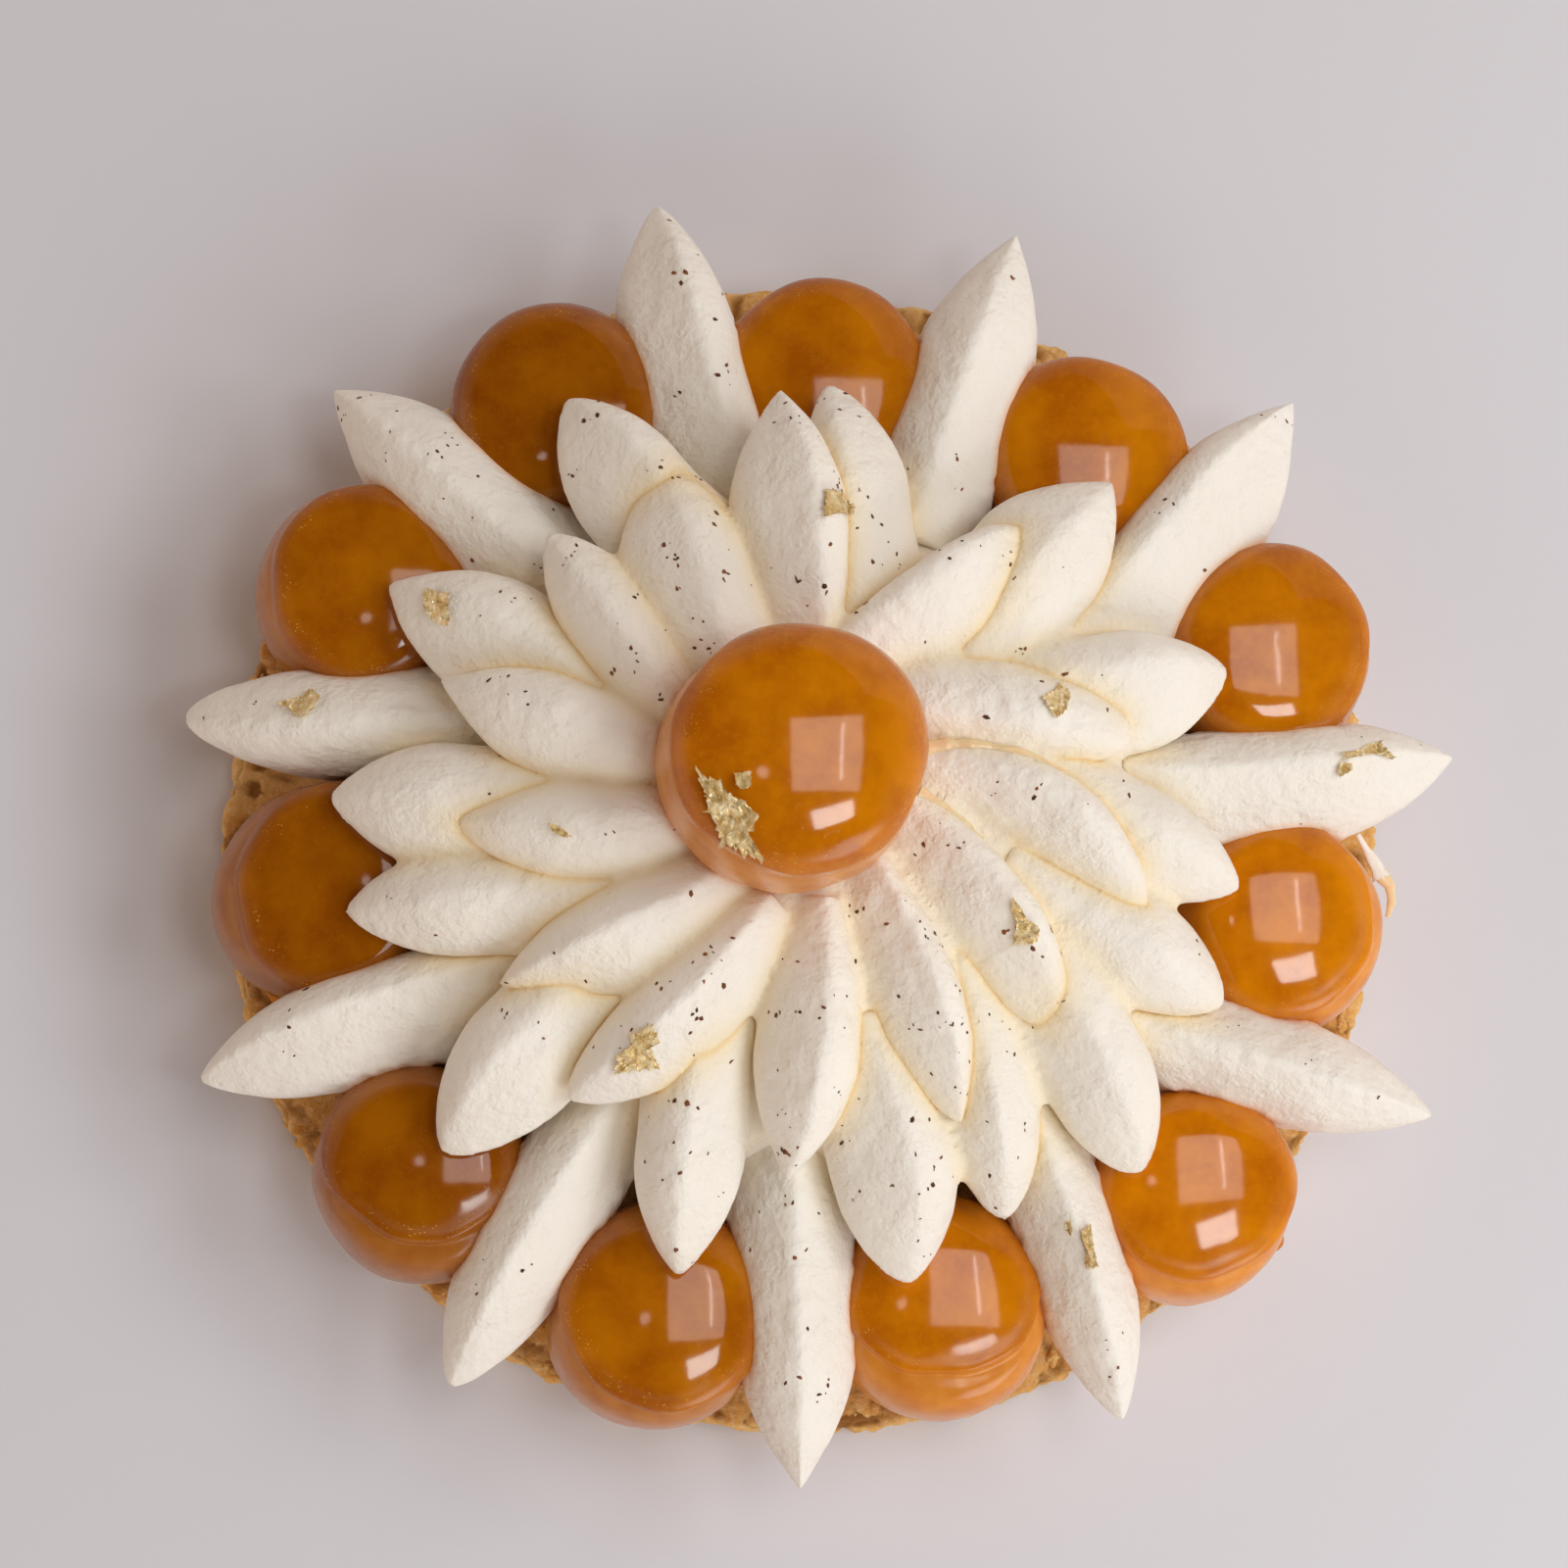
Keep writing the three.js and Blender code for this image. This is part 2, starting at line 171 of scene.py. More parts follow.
class Finish:
    """A material under construction: its shader, and nodes that read the piece's own coordinates."""

    def __init__(self, name, **sockets):
        self.material = bpy.data.materials.new(name)
        self.material.use_nodes = True
        self.tree = self.material.node_tree
        self.shader = self.tree.nodes["Principled BSDF"]
        for socket, value in sockets.items():
            self.shader.inputs[socket.replace("_", " ")].default_value = value
        self.place = self.tree.nodes.new("ShaderNodeTexCoord").outputs["Object"]

    def node(self, kind, inputs=None, **settings):
        made = self.tree.nodes.new("ShaderNode" + kind)
        for key, value in settings.items():
            setattr(made, key, value)
        for key, value in (inputs or {}).items():
            if isinstance(value, bpy.types.NodeSocket):
                self.tree.links.new(value, made.inputs[key])
            else:
                made.inputs[key].default_value = value
        return made

    def noise(self, size, detail=2.0, roughness=0.5):
        """Noise whose blobs are size metres across, from 0 to 1."""
        inputs = {"Vector": self.place, "Scale": 1 / size, "Detail": detail, "Roughness": roughness}
        return self.node("TexNoise", inputs).outputs["Fac"]

    def cells(self, size):
        """Distance to the nearest of scattered points that lie about size metres apart."""
        inputs = {"Vector": self.place, "Scale": 1 / size}
        return self.node("TexVoronoi", inputs).outputs["Distance"]

    def mark(self, name):
        return self.node("Attribute", attribute_name=name).outputs["Fac"]

    def ramp(self, value, low, high, start=0.0, end=1.0):
        """start where value is below low, end where it is above high, and straight between."""
        inputs = {"Value": value, "From Min": low, "From Max": high, "To Min": start, "To Max": end}
        return self.node("MapRange", inputs).outputs["Result"]

    def times(self, a, b):
        return self.node("Math", {0: a, 1: b}, operation="MULTIPLY").outputs[0]

    def plus(self, a, b):
        return self.node("Math", {0: a, 1: b}, operation="ADD").outputs[0]

    def mix(self, share, one, other):
        inputs = {"Factor": share, 6: one, 7: other}
        return self.node("Mix", inputs, data_type="RGBA").outputs[2]

    def colour(self, value):
        self.tree.links.new(value, self.shader.inputs["Base Color"])

    def gloss(self, value):
        self.tree.links.new(value, self.shader.inputs["Roughness"])

    def relief(self, *heights):
        """Bumps, each a height from 0 to 1 and its depth in metres, one over another."""
        normal = None
        for height, depth in heights:
            inputs = {"Height": height, "Distance": depth, "Strength": 1.0}
            if normal:
                inputs["Normal"] = normal
            normal = self.node("Bump", inputs).outputs["Normal"]
        self.tree.links.new(normal, self.shader.inputs["Normal"])


def baked_pastry():
    """Golden tan, darkened by painted shade in the creases between crumbs and in the pores, paler on the
    broken tops, with a fine grain.
    """
    finish = Finish("baked_pastry", Roughness=0.7, Specular_IOR_Level=0.3, Subsurface_Weight=0.2,
                    Subsurface_Radius=(0.0016, 0.0008, 0.0003), Subsurface_Scale=1.0)
    patches = finish.ramp(finish.noise(9 * MM, 3), 0.35, 0.65)
    golden = finish.mix(patches, (0.96, 0.59, 0.21, 1), (0.73, 0.35, 0.07, 1))
    broken = finish.ramp(finish.noise(1.2 * MM, 4, 0.65), 0.46, 0.62)
    golden = finish.mix(finish.times(broken, 0.8), golden, (0.94, 0.62, 0.28, 1))
    # Painted shade: the creases between crumbs and the pores are darkened towards deep brown.
    shaded_crease = finish.ramp(finish.mark("crease_shade"), 0.25, 0.9)
    finish.colour(finish.mix(shaded_crease, golden, (0.36, 0.15, 0.03, 1)))
    finish.relief((finish.noise(1.3 * MM, 5, 0.65), 0.7 * MM), (finish.noise(0.4 * MM, 3), 0.2 * MM))
    return finish.material


def pastry_disc():
    """Rings round the disc from the middle of its underside, out, up its edge and back to the middle
    of its top. The edge moves out and in by crumbly noise, with deeper pores where a wider noise is
    high, and its upper lip sinks by a share of the same noise. Also how much painted shade each point takes."""
    inner = np.linspace(0.02, 0.93, 8)
    wall = np.linspace(0, 1, 30)
    top = 1 - np.linspace(0, 1, 48)[1:] ** 1.4 * 0.98
    bulge = 1 - 0.01 * (1 - np.sin(np.pi * wall) ** 0.5)
    radius = np.concatenate([inner, bulge, top * 0.99])[:, None] * BASE_RADIUS
    height = np.concatenate([0 * inner, wall, 1 + 0 * top])[:, None] * BASE_THICKNESS
    angle = np.linspace(0, 2 * np.pi, 1100, endpoint=False)[None, :]
    disc = np.stack([radius * np.cos(angle), radius * np.sin(angle), height + 0 * angle], -1)
    edge = smooth_between(0.9 * BASE_RADIUS, 0.985 * BASE_RADIUS, radius) + 0 * angle
    edge = edge * smooth_between(-0.5 * MM, 1.0 * MM, height)
    crumbs = crumbly(disc * np.array([1, 1, 1.3]), 5 * MM, BASE_SEED, 4)
    pores = smooth_between(0.3, 0.8, rough(disc, 3.2 * MM, BASE_SEED + 3, 2))
    drift = 0.9 * MM * noise(disc * np.array([1, 1, 0]), 16 * MM, BASE_SEED + 8)
    push = edge * (BASE_CRUMB * (crumbs - 0.45) - 0.9 * MM * pores + drift)
    disc[..., 0] += push * np.cos(angle) + BASE_SHIFT[0]
    disc[..., 1] += push * np.sin(angle) + BASE_SHIFT[1]
    lip = smooth_between(0.4, 1, height / BASE_THICKNESS) * edge
    disc[..., 2] -= lip * (1.1 * MM * np.maximum(0.75 - crumbs, 0) + 0.8 * MM * pores)
    level = (1 - edge) * (height > 0.5 * BASE_THICKNESS)
    disc[..., 2] -= level * 0.25 * MM * crumbly(disc, 3 * MM, 5, 2)
    disc[..., 2] = np.maximum(disc[..., 2], 0)
    # Painted shade mark: high in the creases between crumbs and in the pores.
    crease_shade = np.clip(1.1 - 1.4 * crumbs + pores, 0, 1)
    crease_shade = np.concatenate([crease_shade.ravel(), [0.5, 0.5]])
    return closed_skin(disc), {"crease_shade": crease_shade}


def ball(x, y, z, radius, squash, lump=0.0, seed=0):
    """A ball squash times as high as wide, moved in and out by crumbly noise of lump times its radius."""
    fall = np.linspace(0, np.pi, 14)[1:-1, None]
    turn = np.linspace(0, 2 * np.pi, 20, endpoint=False)[None, :]
    across, down = np.sin(fall), -squash * np.cos(fall)
    form = np.stack([across * np.cos(turn), across * np.sin(turn), down + 0 * turn], -1)
    form = form * (1 + lump * (crumbly(form, 0.9, seed) - 0.6))[..., None]
    return closed_skin(form * radius + np.array([x, y, z]))


def rim_crumbs():
    """Crumbs that cling to the base's edge, spread by chance round it and up it."""
    draw = np.random.default_rng(RIM_SEED)
    crumbs = []
    for number in range(RIM_CRUMBS):
        angle, reach = draw.uniform(0, 2 * np.pi), BASE_RADIUS * draw.uniform(0.955, 0.992)
        x, y = BASE_SHIFT[0] + reach * math.cos(angle), BASE_SHIFT[1] + reach * math.sin(angle)
        z = BASE_THICKNESS * draw.uniform(0.2, 0.95)
        crumbs.append(ball(x, y, z, draw.uniform(0.5, 1.5) * MM, draw.uniform(0.6, 0.9), 0.7, number))
    return crumbs


PASTRY = baked_pastry()
skin, marks = pastry_disc()
lay("pastry_base_baked", skin, PASTRY, ["pastry_base"], marks)
crumbs = rim_crumbs()
for number, (x, y, wide) in enumerate(FALLEN_CRUMBS):
    crumbs.append(ball(x * MM, y * MM, 0.35 * wide * MM, 0.5 * wide * MM, 0.7, 0.7, 500 + number))
lay("pastry_crumbs", joined(crumbs), PASTRY)

# The puffs: balls of choux pastry dipped in hot caramel and set cap down, so that each has a smooth
# glassy cap that ends in a step, and below it a rounder skirt where the caramel ran thin.
PUFF_ROWS = [
    (120.5, 89, 19, 31), (88.5, 83, 19, 30), (55, 85.5, 18.5, 31), (23.5, 89, 19, 32),
    (351, 84.5, 18.5, 31), (317.5, 90, 18.5, 31), (285.5, 83.5, 19, 30), (252, 86, 19, 32),
    (220.5, 88.5, 18.5, 31), (186, 85.5, 19, 32), (150.5, 90, 19, 31),
]
PUFF_FOOT = 8.3 * MM
TOP_PUFF = (-7, 9.5, 22, 35)
TOP_FOOT = 50.3 * MM
WIDEST_AT = 0.43
CAP_LEVEL = 0.95
CAP_DOME = 0.25
TOP_DOME = 0.3
CAP_SHOULDER = 12
FOOT_SHARE = 0.6
CAP_STEP = 1.1 * MM
# Each cap's reach as a share of the puff's radius, how far it falls short on one side, the bearing of
# that side, the width of its step, how much painted shade darkens its caramel where the petals would
# shade it, from 0 to 1, and how many degrees the cap leans to the right and to the back.
CAP_ROWS = [
    (0.95, 0.05, 150, 0.08, 0.92, 0, 0), (0.93, 0.05, 60, 0.07, 0.5, 0, 0), (0.92, 0.06, 30, 0.07, 0.3, 0, 0),
    (0.92, 0.08, 0, 0.07, 0.25, 0, 0), (0.88, 0.14, 340, 0.08, 0, -1, -1),
    (0.88, 0.14, 270, 0.06, 0, -2.4, 0), (0.86, 0.31, 275, 0.05, 0.15, -1, 2),
    (0.9, 0.13, 240, 0.05, 0.6, -0.7, 3), (0.84, 0.24, 265, 0.06, 0.9, 0, 0),
    (0.88, 0.2, 178, 0.12, 0.92, -5, -2.5), (0.9, 0.13, 180, 0.1, 0.72, 0, 0),
]
TOP_CAP = (0.91, 0.04, 225, 0.06, 0.3, 0, 0)


def caramel_glaze():
    """Amber caramel: deep brown orange where it lies thick, paler golden over the skirt where it ran thin,
    with fine bubbles that glint near the cap's edge, under a hard glassy surface. The skirt's golden is
    partly painted sheen, brighter than thin caramel alone, and whole caps are darkened by painted shade."""
    finish = Finish("caramel_glaze", Roughness=0.06, Specular_IOR_Level=0.5, Subsurface_Weight=0.15,
                    Subsurface_Radius=(0.004, 0.0012, 0.0001), Subsurface_Scale=1.0)
    thin = finish.mark("thin_glaze_and_sheen")
    cloud = finish.ramp(finish.noise(13 * MM, 4, 0.6), 0.36, 0.64)
    amber = finish.mix(cloud, (0.79, 0.26, 0.001, 1), (0.56, 0.147, 0.001, 1))
    grain = finish.ramp(finish.noise(1.2 * MM, 3, 0.6), 0.5, 0.7)
    amber = finish.mix(finish.times(grain, 0.35), amber, (0.74, 0.26, 0.004, 1))
    golden = finish.mix(finish.ramp(finish.noise(4 * MM, 3), 0.35, 0.7), (0.86, 0.34, 0.05, 1),
                        (0.72, 0.24, 0.025, 1))
    # Paler golden where the caramel ran thin, made brighter as painted sheen for the right panel, which the
    # caramel doesn't mirror.
    glazed = finish.mix(finish.times(thin, 0.85), amber, golden)
    # Painted shade: caps that the petals would shade are multiplied towards grey by their own share.
    shade = {"Factor": finish.mark("cap_painted_shade"), 6: glazed, 7: (0.45, 0.41, 0.45, 1)}
    glazed = finish.node("Mix", shade, data_type="RGBA", blend_type="MULTIPLY").outputs[2]
    dulled = finish.times(finish.mark("rim_glints"), 0.22)
    finish.gloss(finish.plus(finish.ramp(thin, 0.3, 1, 0.06, 0.24), dulled))
    bubbles = finish.ramp(finish.cells(0.62 * MM), 0.2, 0.1)
    patchy = finish.ramp(finish.noise(3.0 * MM, 2), 0.45, 0.6)
    near_rim = finish.plus(finish.times(finish.mark("rim_glints"), 0.9), 0.15)
    glints = finish.times(finish.times(bubbles, patchy), near_rim)
    finish.colour(finish.mix(glints, glazed, (0.95, 0.6, 0.14, 1)))
    finish.relief((finish.noise(5 * MM, 2), 0.01 * MM), (glints, 0.03 * MM))
    return finish.material


def glazed_puff(x, y, foot, radius, height, cap, seed, round_top=CAP_DOME):
    """A form turned round the puff's axis. Cap: its share of height is the square root of 1 less
    round_top r^2 and the rest times r^12, nearly flat in the middle and round at its shoulder. Below
    the widest place it tucks in to the foot by a cosine to the power 0.8. The cap stands a step
    higher than the skirt, and its edge has a small bead inside and a groove outside. Also marks of
    the skirt, the rim and the painted shade of the cap."""
    reach, short, short_bearing, soft, cap_painted_shade, lean_right, lean_back = cap
    fall = np.linspace(0.012, 0.5, 88) * np.pi
    tuck = np.linspace(0, 0.5, 34)[1:] * np.pi
    out = np.concatenate([np.sin(fall), FOOT_SHARE + (1 - FOOT_SHARE) * np.cos(tuck) ** 0.8])[:, None]
    dome = np.maximum(1 - round_top * np.sin(fall) ** 2 - (1 - round_top) * np.sin(fall) ** CAP_SHOULDER, 0)
    over = WIDEST_AT + (CAP_LEVEL - WIDEST_AT) * np.sqrt(dome)
    up = np.concatenate([over, WIDEST_AT * (1 - np.sin(tuck) ** 1.3)])[:, None]
    passed = np.concatenate([np.sin(fall), 1 + 0.4 * np.sin(tuck)])[:, None]
    turn = np.linspace(0, 2 * np.pi, 180, endpoint=False)[None, :]
    draw = np.random.default_rng(100 + seed)
    phase = draw.uniform(0, 2 * np.pi, 4)
    swell = 1 + 0.016 * np.sin(2 * turn + phase[0]) + 0.01 * np.sin(3 * turn + phase[1])
    swell = swell + 0.004 * np.sin(5 * turn + phase[2])
    along_x, along_y = radius * out * swell * np.cos(turn), radius * out * swell * np.sin(turn)
    lowered = along_x * math.tan(math.radians(lean_right)) + along_y * math.tan(math.radians(lean_back))
    puff = np.stack([along_x, along_y, height * up - lowered * smooth_between(0.5, 0.9, up)], -1)
    edge = reach - short * np.cos(turn - math.radians(short_bearing))
    edge = edge + 0.012 * np.sin(4 * turn + phase[3]) + 0.008 * np.sin(7 * turn + phase[0])
    inside = smooth_between(edge + soft, edge, passed)
    bead = 0.12 * MM * np.exp(-(((passed - edge + 0.05) / 0.05) ** 2))
    groove = 0.14 * MM * np.exp(-(((passed - edge - 1.6 * soft) / 0.06) ** 2))
    skirt = smooth_between(0.02, 0.12, up) * (1 - inside)
    lumps = skirt * 0.2 * MM * rough(puff, 7 * MM, seed, 2) + 0.05 * MM * noise(puff, 13 * MM, seed + 40)
    puff = puff + outward(puff) * (CAP_STEP * inside + bead - groove + lumps)[..., None]
    puff = puff + np.array([x, y, foot])
    rim = np.exp(-(((passed - edge + 0.06) / 0.09) ** 2)) * inside
    marks = {
        "thin_glaze_and_sheen": np.concatenate([(1 - inside).ravel(), [0, 1]]),
        "rim_glints": np.concatenate([rim.ravel(), [0, 0]]),
        # painted shade of the whole cap
        "cap_painted_shade": np.full(inside.size + 2, cap_painted_shade),
    }
    return closed_skin(puff), marks


CARAMEL = caramel_glaze()
puffs = []
puff_spots = []
for number, ((bearing, reach, radius, height), cap) in enumerate(zip(PUFF_ROWS, CAP_ROWS), 1):
    spot = reach * MM * np.array([math.cos(math.radians(bearing)), math.sin(math.radians(bearing))])
    puff_spots.append((spot, radius * MM))
    skin, marks = glazed_puff(*spot, PUFF_FOOT, radius * MM, height * MM, cap, number)
    node = f"choux_puff_{number:02d}"
    puffs.append(lay(node + "_glazed", skin, CARAMEL, [node], marks))
top_x, top_y, top_radius, top_height = (value * MM for value in TOP_PUFF)
skin, marks = glazed_puff(top_x, top_y, TOP_FOOT, top_radius, top_height, TOP_CAP, 12, TOP_DOME)
puffs.append(lay("top_puff_glazed", skin, CARAMEL, ["top_puff"], marks))

# The feet: caramel that ran down each puff and set on the base as a thin, glassy, uneven pool.
POOL_THICKNESS = 1.3 * MM
POOL_REACH = 101.5 * MM


def caramel_pool(spot, radius, seed):
    """A flat drop: rings from its underside out to an uneven edge, and back over a top that falls to
    the edge as the square root of the distance from it. The edge stays within the base."""
    turn = np.linspace(0, 2 * np.pi, 120, endpoint=False)[None, :]
    around = np.stack([np.cos(turn), np.sin(turn), 0 * turn], -1)
    edge = radius * (0.86 + 0.16 * noise(around, 0.45, seed) + 0.1 * noise(around, 0.2, seed + 9))
    centre = np.array([*spot, 0])
    rim = centre + around * edge[..., None]
    reach = np.linalg.norm(rim[..., :2] - np.array(BASE_SHIFT), axis=-1)
    edge = edge - np.maximum(reach - POOL_REACH, 0)
    share = np.concatenate([np.linspace(0.3, 1, 6), 1 - np.linspace(0, 1, 16)[1:] ** 2 * 0.7])[:, None]
    over = np.concatenate([np.zeros(6), np.linspace(0, 1, 16)[1:] ** 0.8])[:, None]
    pool = centre + around * (edge * share)[..., None]
    pool[..., 2] = PUFF_FOOT - 0.7 * MM + over * POOL_THICKNESS
    return closed_skin(pool)


pools = joined([caramel_pool(spot, radius, 60 + i) for i, (spot, radius) in enumerate(puff_spots)])
pool_marks = {"thin_glaze_and_sheen": np.full(len(pools[0]), 0.9), "rim_glints": np.full(len(pools[0]), 0.6)}
lay("caramel_pools", pools, CARAMEL, marks=pool_marks)

# The cream: vanilla cream whipped stiff, spread as a bed inside the ring of puffs and piped over it
# in petals from a slit nozzle, each with a sharp crest, two full faces and a drawn-out tip.
BED_PROFILE = np.array([(0, 8.3), (59, 8.3), (59, 33), (52, 41), (41, 46), (27, 49), (16, 50), (0, 50)])
FULL_AT = 0.45
TIP_OPENING = 1.9
CREST_SHARPNESS = 1.1
CREST_FULLNESS = 0.6
KEEL_FROM = 0.1
KEEL_TO = 0.42
OUTER = {
    "name": "outer_petal", "length": 62, "tip": 29, "rise": 3, "crest": 12, "belly": 5, "keel": 20,
    "narrowing": 0,
    "rows": [
        (103.5, 118, 1, 22, -3, 0.3, 0.35), (71.5, 117, 0, 22, 0, -0.15, 0),
        (43, 119, 8, 22, 1, -0.5, 0), (8.5, 116, -1, 22, 2, -0.3, 0.2),
        (337, 119, 7, 19, 0, 0.05, 0.3), (298.5, 113, -10, 18, -1, 0, 0.4),
        (269, 111, 3, 22, 0, 0.05, 0.05), (236.5, 112, 3, 20, 1, 0.15, 0.6),
        (201.5, 113, -5, 20, 1, 0.4, 0.5), (169, 111, 12, 19, -1, -0.2, 0.8),
        (136.5, 116, 3, 23, 0, -0.1, 0.2),
    ],
}
MIDDLE = {
    "name": "middle_petal", "length": 46, "tip": 42, "rise": 4, "crest": 10, "belly": 7, "keel": 0,
    "narrowing": -0.45,
    "rows": [
        (120, 88, 10, 21, -2, 0.4, 0.4), (88.5, 80, 9, 18, 2, -0.3, 0.5),
        (50.5, 82, 1, 24, -2, 0, 0), (22.5, 78, -9, 22, 0, -0.35, 0.5),
        (353.5, 74, -20, 19, 1, -0.15, 0.5), (338, 76, -6, 20, -1, 0, 0.6),
        (314, 80, -13, 20, -2, -0.1, 0.7), (296, 73, -14, 17, -1, 0, 0.7),
        (281.5, 78, 3, 22, -2, -0.2, 0.6), (252.5, 79, 10, 19, 1, 0.2, 0.25),
        (220.5, 84, 4, 22, 2, 0.3, 0.5), (189.5, 82, -5, 19, 0, 0, 0.4),
        (176, 84, -1, 22, 0, 0.15, 0.4), (150, 86, -3, 22, 2, 0.2, 0.1),
    ],
}
INNER = {
    "name": "inner_petal", "length": 48, "tip": 51, "rise": 3, "crest": 10, "belly": 6, "keel": 0,
    "narrowing": 0.5,
    "rows": [
        (95.5, 77, 0, 20, -1, 0.4, 0), (113.5, 69, -7, 24, -2, 0.15, 0.4),
        (133, 69, -6, 18, 0, -0.15, 0.6), (159, 70, 1, 18, -1, 0.15, 0),
        (179, 64, 3, 18, -3, 0.1, 0), (206, 61, 0, 18, -2, 0.2, 0),
        (227, 63, -3, 17, -3, 0.25, 0.6), (264, 60, 0, 18, -1, -0.2, 0),
        (295, 55, -4, 16, 0, -0.4, 0.2), (320.5, 53, -12, 17, -1, -0.45, 0.6),
        (347, 57, -17, 15, -5, -0.25, 0.7), (17.5, 56, -25, 17, -1, 0.15, 1),
        (56, 63, -18, 17, 2, -0.6, 0.9),
    ],
}
# How soft a petal's crest is and how ruffled its root, where it differs from the usual.
USUAL_CREST = 0.06
SOFT_CRESTS = {
    "outer_petal_10": 0.35, "inner_petal_04": 0.35, "inner_petal_05": 0.35, "inner_petal_12": 0.5,
    "middle_petal_13": 0.3, "middle_petal_12": 0.2, "inner_petal_13": 0.25, "inner_petal_11": 0.3,
    "inner_petal_10": 0.25, "middle_petal_05": 0.2, "middle_petal_06": 0.2, "middle_petal_04": 0.15,
}
RUFFLED = {
    "inner_petal_08": 0.4, "inner_petal_09": 0.7, "inner_petal_10": 1.0, "inner_petal_11": 1.0,
    "inner_petal_12": 1.0, "inner_petal_13": 0.6, "middle_petal_04": 0.5, "middle_petal_05": 0.6,
    "middle_petal_06": 0.6, "middle_petal_07": 0.5, "outer_petal_05": 0.6, "outer_petal_04": 0.3,
}


def whipped_cream():
    """Ivory cream, soft and matt, with slightly richer patches and the fine grain of its bubbles.
    Where two petals meet, painted shade turns it yellow, and a deeper golden in the clefts, for light
    bounced between the petals; beside the puffs, painted amber bounce light tints it."""
    finish = Finish("whipped_cream", Roughness=0.5, Specular_IOR_Level=0.3)
    ivory = finish.mix(finish.noise(14 * MM, 2), (0.935, 0.903, 0.83, 1), (0.925, 0.878, 0.782, 1))
    # Painted shade: yellow where petals meet and a deeper golden in the clefts, for light bounced between the
    # petals.
    painted_nook_shade = finish.mark("painted_nook_shade")
    warm = finish.mix(painted_nook_shade, ivory, (0.93, 0.79, 0.53, 1))
    cleft_shade = finish.ramp(painted_nook_shade, 0.78, 1.0)
    warm = finish.mix(finish.times(cleft_shade, 0.7), warm, (0.865, 0.63, 0.293, 1))
    # Painted bounce light: amber from the puffs tints the cream beside them.
    finish.colour(finish.mix(finish.times(finish.mark("caramel_bounce_light"), 0.75), warm, (0.85, 0.42, 0.13, 1)))
    pits = finish.times(finish.noise(1.1 * MM, 2, 0.6), finish.ramp(finish.noise(7 * MM, 1), 0.4, 0.6))
    finish.relief((finish.noise(2.6 * MM, 2, 0.6), 0.55 * MM), (pits, 0.3 * MM))
    return finish.material


def petal_points(kind, row, along, across, beneath, soft=USUAL_CREST):
    """Points on a petal from the shares along (0 tip, 1 root) and across (-1 to 1).
    Half width: 1 - (1 - along/full)^1.9 up to the fullest place, then less by narrowing times the
    square of the share left, or more where narrowing is below 0. Face above: crest height times
    (1 - |across|^1.1)^0.6, its crest rounded by soft. Belly below: an ellipse, deeper by a keel where
    the petal fills the gap beneath it."""
    bearing, reach, turn, width, bow, lean, blunt = row
    opening = 1 - (1 - np.minimum(along, FULL_AT) / FULL_AT) ** TIP_OPENING
    closing = 1 - kind["narrowing"] * (np.maximum(along - FULL_AT, 0) / (1 - FULL_AT)) ** 2
    full = opening * closing
    wide, high = full ** (1 - 0.5 * blunt), (opening * np.minimum(closing, 1)) ** 0.9
    heading = math.radians(bearing + 180 + turn)
    edge = np.sqrt(across**2 + soft**2) - soft
    edge = edge / (math.sqrt(1 + soft**2) - soft)
    over = kind["crest"] * high * (1 - np.minimum(edge, 1) ** CREST_SHARPNESS) ** CREST_FULLNESS
    keel = kind["keel"] * smooth_between(KEEL_FROM, KEEL_TO, along)
    under = -(kind["belly"] * high + keel) * np.sqrt(np.maximum(1 - across**2, 0))
    side = 4 * bow * along * (1 - along) + 0.5 * width * wide * (across + lean * (1 - across**2))
    ahead = kind["length"] * along
    rise = kind["tip"] + kind["rise"] * (1 - (1 - along) ** 2)
    out = math.radians(bearing)
    return MM * np.stack([
        reach * math.cos(out) + ahead * math.cos(heading) - side * math.sin(heading),
        reach * math.sin(out) + ahead * math.sin(heading) + side * math.cos(heading),
        rise + np.where(beneath, under, over),
    ], -1)


def piped_petal(kind, row, name, seed):
    """The petal's points on a grid, moved along their normals by slow waves, by fine lines that the
    nozzle drew along it, by a ragged crest and, where it is ruffled, by small bumps."""
    along = (np.linspace(0, 1, 104)[1:, None]) ** 1.2
    face = np.linspace(-np.pi / 2, np.pi / 2, 47)
    belly = np.linspace(np.pi / 2, -np.pi / 2, 19)[1:-1]
    across = np.concatenate([np.sin(face), np.sin(belly)])[None, :]
    beneath = np.concatenate([np.zeros(len(face), bool), np.ones(len(belly), bool)])[None, :]
    soft = SOFT_CRESTS.get(name, USUAL_CREST)
    petal = petal_points(kind, row, along + 0 * across, across + 0 * along, beneath, soft)
    normal = outward(petal)
    fade = smooth_between(0, 0.12, along)
    push = 0.28 * MM * noise(petal, 9 * MM, seed) + 0.1 * MM * noise(petal, 3.2 * MM, seed + 1)
    level = np.zeros(petal.shape[:2])
    streaks = noise(np.stack([along * 1.5 + level, across * 7 + level, level + seed], -1), 1, seed)
    push = push + 0.07 * MM * streaks
    crest = np.exp(-((across / 0.16) ** 2)) * ~beneath
    push = push + crest * 0.3 * MM * noise(petal, 2.2 * MM, seed + 2)
    ruffle = RUFFLED.get(name, 0) * smooth_between(0.05, 0.5, along)
    bumps = 0.22 * MM * noise(petal, 3 * MM, seed + 3) + 0.12 * MM * noise(petal, 1.2 * MM, seed + 4)
    push = push + ruffle * bumps
    ragged = smooth_between(0.8, 0.97, np.abs(across)) * (kind is OUTER) * smooth_between(0.25, 0.5, along)
    push = push + ragged * 0.55 * MM * noise(petal, 1.8 * MM, seed + 6)
    return closed_skin(petal + normal * (fade * push)[..., None])


